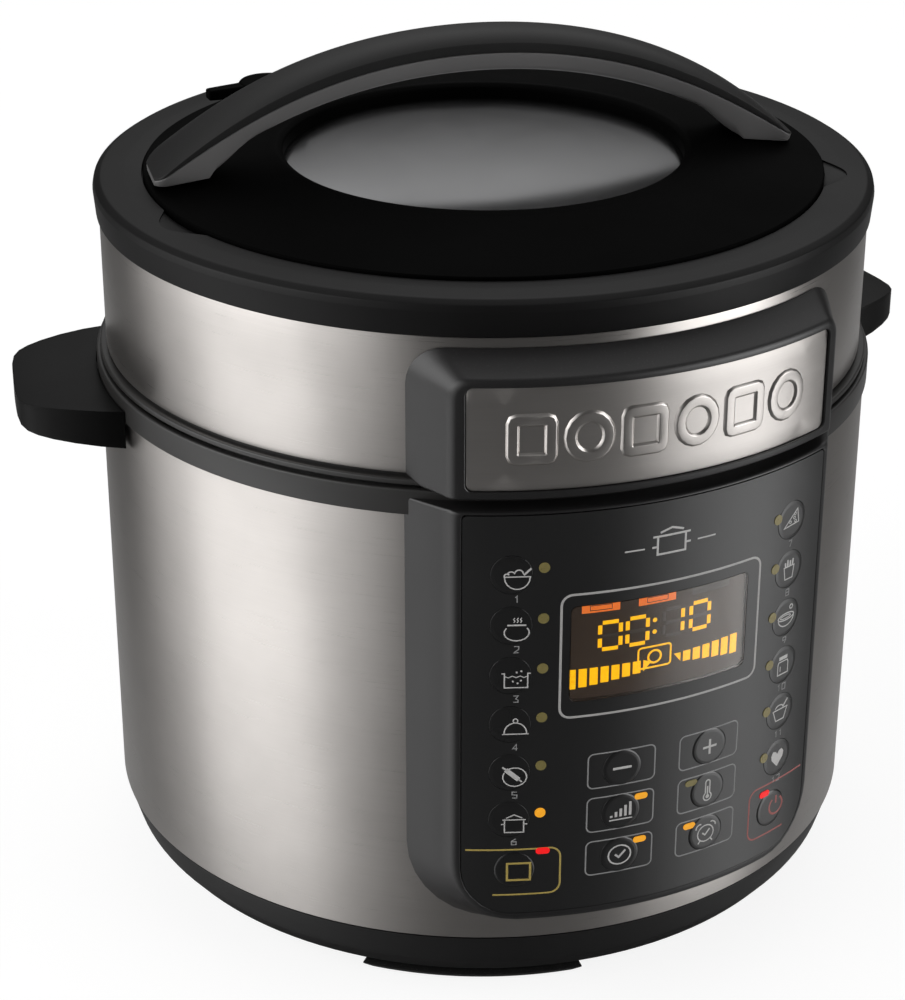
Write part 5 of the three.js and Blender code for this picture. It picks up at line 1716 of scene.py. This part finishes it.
# ---- badge -------------------------------------------------------------------------------
class COOKER_OT_badge(bpy.types.Operator):
    """Builds the badge housing on the lid's front and its embossed steel plate"""

    bl_idname = "cooker.badge"
    bl_label = "Badge"

    def execute(self, context):
        front_r, face = FACE_R, shape("face_half")
        low, high = CROWN_LOW.z, CROWN_HIGH.z
        front_high = high - shape("face_fall")
        back_r, back_low = SKIRT_HIGH.x + 0.4, low + 2.6
        loops = []

        def at(share, r, inset=0.0):
            loops.append(
                bent_outline(
                    lerp(HOUSING_HALF, face, share) - math.degrees(inset / r),
                    lerp(back_low, low, min(1, share * 3)) + inset * 0.6,
                    lerp(high, front_high, share) - inset,
                    r, 1.2, max(1.5, lerp(14, 6, share) - inset),
                )
            )  # fmt: skip

        loops.append(bent_outline(HOUSING_HALF - 1.4, back_low + 2.5, high - 2.5, back_r, 1, 11.5))
        at(0, back_r)
        at(0.3, lerp(back_r, front_r, 0.28))
        at(0.72, lerp(back_r, front_r, 0.70))
        for turn in (0, 22, 45, 68, 90):
            a = math.radians(turn)
            at(0.84 + 0.1 * math.sin(a), front_r - 1.8 * (1 - math.sin(a)), 1.8 * (1 - math.cos(a)))
        gap = 0.3

        def pocket(r, inset):
            loops.append(
                bent_outline(
                    BADGE_HALF + math.degrees((gap - inset) / r), BADGE_LOW.z - gap + inset,
                    BADGE_HIGH.z + gap - inset, r, max(1, 2.8 - inset), max(1, 2.8 - inset),
                )
            )  # fmt: skip

        pocket(front_r, -0.25)
        pocket(front_r - 0.25, 0)
        pocket(front_r - 1.8, 0)
        pocket(front_r - 1.8, 8)
        pocket(front_r - 4.3, 8)
        loops.append(bent_outline(face - 1.4, back_low + 2.5, front_high - 2.5, front_r - 4.3, 1, 4))
        housing = lofted(loops, ring=True)
        piece("badge_frame", housing, housing_black(), "lid", ["badge_housing"], sharp=40)
        self.plate()
        return {"FINISHED"}

    def plate(self):
        base = FACE_R - shape("relief") - 0.1
        low, high = BADGE_LOW.z, BADGE_HIGH.z
        middle = (low + high) / 2
        plate = bent_plate(BADGE_HALF, low, high, FACE_R - 1.4, base, 2.5, columns=64, rows=6)
        piece("badge_sheet", plate, badge_steel(), "lid", ["badge_plate"], bevel=0.3)
        relief = Print(5.0, shape("relief"), 0.62)
        for i, x in enumerate((-50, -30, -10, 10, 30, 50)):
            if i % 2:
                relief.arc(x, 0, 6.8, 7.4)
            else:
                relief.line(*rounded_rect(x, 0, 6.6, 7.2, 1.6, 2), closed=True)
        raised = relief.laid(0, base - 0.02, middle)
        piece("badge_relief", raised, badge_steel(), "lid", bevel=0.3)


# ---- arch handle -------------------------------------------------------------------------
class COOKER_OT_arch(bpy.types.Operator):
    """Builds the arch handle over the lid: a soft cap on a satin bar whose grey is painted light"""

    bl_idname = "cooker.arch"
    bl_label = "Arch handle"

    def execute(self, context):
        span = 125.0
        foot = span - 21

        def crown(s):
            q = s / span
            return CAP_HIGH.z - shape("arch_fall") * (0.75 * q**2 + 0.25 * q**4)

        def seam(s):
            return crown(s) - shape("cap_t") * (1 - 0.85 * abs(s / span) ** 6)

        def half_width(s):
            q = abs(s / span)
            width = lerp(shape("arch_w"), shape("arch_end_w"), q**2)
            blunt = max(0.0, (q - 0.955) / 0.045)
            return width / 2 * (1 - 0.04 * q**8) * math.sqrt(max(0.0, 1 - 0.55 * blunt**2.4))

        def low(s):
            a = abs(s)
            on_cover = cover_top(a) + 0.9
            if a >= foot:
                return min(on_cover, seam(s) - 0.6)
            blend = max(0.0, (a - (foot - 18)) / 18)
            return lerp(seam(s) - shape("bar_t"), cover_top(foot) + 0.9, blend**2)

        count = 72
        shares = [lerp(-1, 1, i / count) for i in range(count + 1)]
        stations = [span * 0.5 * (a + math.sin(a * math.pi / 2)) for a in shares]
        rows = 12

        def cap(u, v, w):
            s = stations[round(u * count)]
            across = math.sin((2 * w - 1) * math.pi / 2)
            base = seam(s) + 0.15
            rise = (crown(s) - base) * (1 - 0.5 * abs(across) ** 3)
            return (s, -across * half_width(s), base + v * rise)

        def bar(u, v, w):
            s = stations[round(u * count)]
            across = 2 * w - 1
            tuck = 1 - 0.14 * (1 - v) ** 1.5
            lower = low(s)
            round_off = (seam(s) - lower) * 0.22 * abs(across) ** 4 if abs(s) < foot else 0
            return (s, -across * (half_width(s) - 0.4) * tuck, lerp(lower + round_off, seam(s) - 0.15, v))

        turn = Matrix.Rotation(math.radians(shape("arch_turn")), 4, "Z") @ Matrix.Translation((-3.5, 0, 0))
        made = moved(shaped(count, 3, rows * 2, cap), turn)
        piece("arch_cap", made, soft_black(), "lid", ["handle_cap"], bevel=0.5, sharp=45)
        made = moved(shaped(count, 6, rows, bar), turn)
        piece("arch_bar", made, bar_painted_light_grey(), "lid", ["handle_arch"], bevel=0.6, sharp=45)
        return {"FINISHED"}


# ---- condensate cup ----------------------------------------------------------------------
class COOKER_OT_cup(bpy.types.Operator):
    """Builds the clear condensate cup at the back"""

    bl_idname = "cooker.cup"
    bl_label = "Condensate cup"

    def execute(self, context):
        inner, outer = CUP_HIGH.y - 13.5, CUP_HIGH.y
        wall = 1.6
        half = half_angle(CUP_HIGH.x, outer)
        low, high = CUP_LOW.z, CUP_HIGH.z
        cup = bent_plate(half, low, high, inner, outer, columns=24, rows=6)
        inside_half = half - math.degrees(wall / inner)
        inside = bent_plate(inside_half, low + wall, high + 6, inner + wall, outer - wall, columns=24)
        turn = Matrix.Rotation(math.pi, 4, "Z")
        piece(
            "drip_cup", moved(cup, turn), cup_plastic(), "cup", ["condensate_cup"],
            cut=moved(inside, turn), bevel=0.5,
        )  # fmt: skip
        return {"FINISHED"}


# ---- studio ------------------------------------------------------------------------------
LOOK_AT = Vector((0, 0, 0.1417))
VIEW_AZIMUTH, VIEW_ELEVATION, VIEW_DISTANCE = -24.0, 25.51, 1.0724
LENS_MM, SHIFT_X, ROLL = 94.4, -0.0288, 0.39


class COOKER_OT_stage(bpy.types.Operator):
    """Sets the floor, the soft lights, the surroundings and the camera"""

    bl_idname = "cooker.stage"
    bl_label = "Studio"

    def execute(self, context):
        self.floor()
        self.lights()
        self.world()
        self.camera()
        context.scene.view_settings.view_transform = "Standard"
        return {"FINISHED"}

    def floor(self):
        mesh = bpy.data.meshes.new("studio_floor")
        reach = 6.0
        square = [(-reach, -reach, 0), (reach, -reach, 0), (reach, reach, 0), (-reach, reach, 0)]
        mesh.from_pydata(square, [], [(0, 1, 2, 3)])
        made = bpy.data.objects.new("studio_floor", mesh)
        bpy.context.scene.collection.objects.link(made)
        mat = bpy.data.materials.new("Studio Floor")
        mat.use_nodes = True
        tree, shader = mat.node_tree, mat.node_tree.nodes["Principled BSDF"]
        feed(tree, shader, base_color=(0.62, 0.62, 0.62, 1), roughness=0.32, metallic=0.9)
        glow = node(tree, "Emission", {0: (1, 1, 1, 1), 1: 0.86})
        grey = node(tree, "BsdfDiffuse", {0: (0.22, 0.22, 0.22, 1)})
        lit = node(tree, "AddShader", {0: glow.outputs[0], 1: grey.outputs[0]})
        seen = node(tree, "LightPath").outputs["Is Camera Ray"]
        both = node(tree, "MixShader", {0: seen, 1: shader.outputs[0], 2: lit.outputs[0]})
        tree.links.new(both.outputs[0], tree.nodes["Material Output"].inputs[0])
        mesh.materials.append(mat)

    def lights(self):
        aim = Vector((0, 0, 0.15))
        # name, azimuth, elevation, distance, width, height (metres), power
        boxes = (
            ("left_softbox", -92, 22, 1.6, 1.1, 1.0, 6),
            ("right_softbox", 58, 22, 1.7, 0.6, 1.1, 3),
            ("top_softbox", 175, 66, 1.9, 1.4, 0.8, 0.8),
        )
        for name, azimuth, elevation, distance, width, height, power in boxes:
            light = bpy.data.lights.new(name, "AREA")
            light.shape, light.size, light.size_y, light.energy = "RECTANGLE", width, height, power
            made = bpy.data.objects.new(name, light)
            bpy.context.scene.collection.objects.link(made)
            e = math.radians(elevation)
            away = Vector(polar(azimuth, math.cos(e), math.sin(e)))
            made.location = aim + away * distance
            made.rotation_euler = (-away).to_track_quat("-Z", "Y").to_euler()

    def world(self):
        world = bpy.data.worlds.new("Studio")
        bpy.context.scene.world = world
        world.use_nodes = True
        tree = world.node_tree
        tree.nodes.clear()
        direction = node(tree, "TexCoord").outputs["Generated"]
        up = node(tree, "SeparateXYZ", {0: direction}).outputs[2]
        light = node(tree, "MapRange", {0: up, 1: -0.1, 2: 0.9, 3: 0.025, 4: 0.08}).outputs[0]
        # azimuth, elevation, angles where the glow is full and where it ends, strength
        glows = (
            (-94, 12, 6, 55, 1.75),
            (47, 14, 7, 29, 3.7),
            (150, 56, 8, 48, 0.85),
        )
        for azimuth, elevation, full, end, strength in glows:
            e = math.radians(elevation)
            centre = polar(azimuth, math.cos(e), math.sin(e))
            facing_it = node(tree, "VectorMath", {0: direction, 1: centre}, operation="DOT_PRODUCT")
            share = facing_it.outputs["Value"]
            near, far = math.cos(math.radians(full)), math.cos(math.radians(end))
            reach = {0: share, 1: far, 2: near, 3: 0.0, 4: strength}
            glow = node(tree, "MapRange", reach, interpolation_type="SMOOTHSTEP").outputs[0]
            light = maths(tree, "ADD", light, glow)
        soft = node(tree, "Background", {0: (1, 1, 1, 1), 1: light})
        white = node(tree, "Background", {0: (1, 1, 1, 1), 1: 1.0})
        seen = node(tree, "LightPath").outputs["Is Camera Ray"]
        both = node(tree, "MixShader", {0: seen, 1: soft.outputs[0], 2: white.outputs[0]})
        out = node(tree, "OutputWorld")
        tree.links.new(both.outputs[0], out.inputs[0])

    def camera(self):
        lens = bpy.data.cameras.new("camera")
        lens.lens, lens.sensor_width, lens.shift_x = LENS_MM, 36, SHIFT_X
        made = bpy.data.objects.new("camera", lens)
        bpy.context.scene.collection.objects.link(made)
        a, e = math.radians(VIEW_AZIMUTH), math.radians(VIEW_ELEVATION)
        back = Vector((math.sin(a) * math.cos(e), -math.cos(a) * math.cos(e), math.sin(e)))
        made.location = LOOK_AT + back * VIEW_DISTANCE
        level = back.to_track_quat("Z", "Y").to_matrix()
        made.rotation_euler = (level @ Matrix.Rotation(math.radians(ROLL), 3, "Z")).to_euler()
        bpy.context.scene.camera = made


# ---- panel and registration --------------------------------------------------------------
OPERATORS = (
    COOKER_OT_base,
    COOKER_OT_body,
    COOKER_OT_pots,
    COOKER_OT_panel,
    COOKER_OT_keys,
    COOKER_OT_prints,
    COOKER_OT_lid,
    COOKER_OT_pressure_lid,
    COOKER_OT_badge,
    COOKER_OT_arch,
    COOKER_OT_cup,
    COOKER_OT_stage,
)


class COOKER_PT_parts(bpy.types.Panel):
    """The cooker's pieces, in the order that they are built"""

    bl_idname = "COOKER_PT_parts"
    bl_label = "Pressure Cooker"
    bl_space_type = "VIEW_3D"
    bl_region_type = "UI"
    bl_category = "Cooker"

    def draw(self, context):
        layout = self.layout
        for settings in (context.scene.cooker_shape, context.scene.cooker_colours):
            box = layout.box()
            for name in type(settings).__annotations__:
                box.prop(settings, name)
        for operator in OPERATORS:
            layout.operator(operator.bl_idname)


CLASSES = (*SETTINGS, *OPERATORS, COOKER_PT_parts)


def register():
    for cls in CLASSES:
        bpy.utils.register_class(cls)
    bpy.types.Scene.cooker_shape = bpy.props.PointerProperty(type=CookerShape)
    bpy.types.Scene.cooker_colours = bpy.props.PointerProperty(type=CookerColours)


def unregister():
    del bpy.types.Scene.cooker_colours
    del bpy.types.Scene.cooker_shape
    for cls in reversed(CLASSES):
        bpy.utils.unregister_class(cls)


def main():
    register()
    for operator in OPERATORS:
        group_name, action = operator.bl_idname.split(".")
        getattr(getattr(bpy.ops, group_name), action)()


if __name__ == "__main__":
    main()
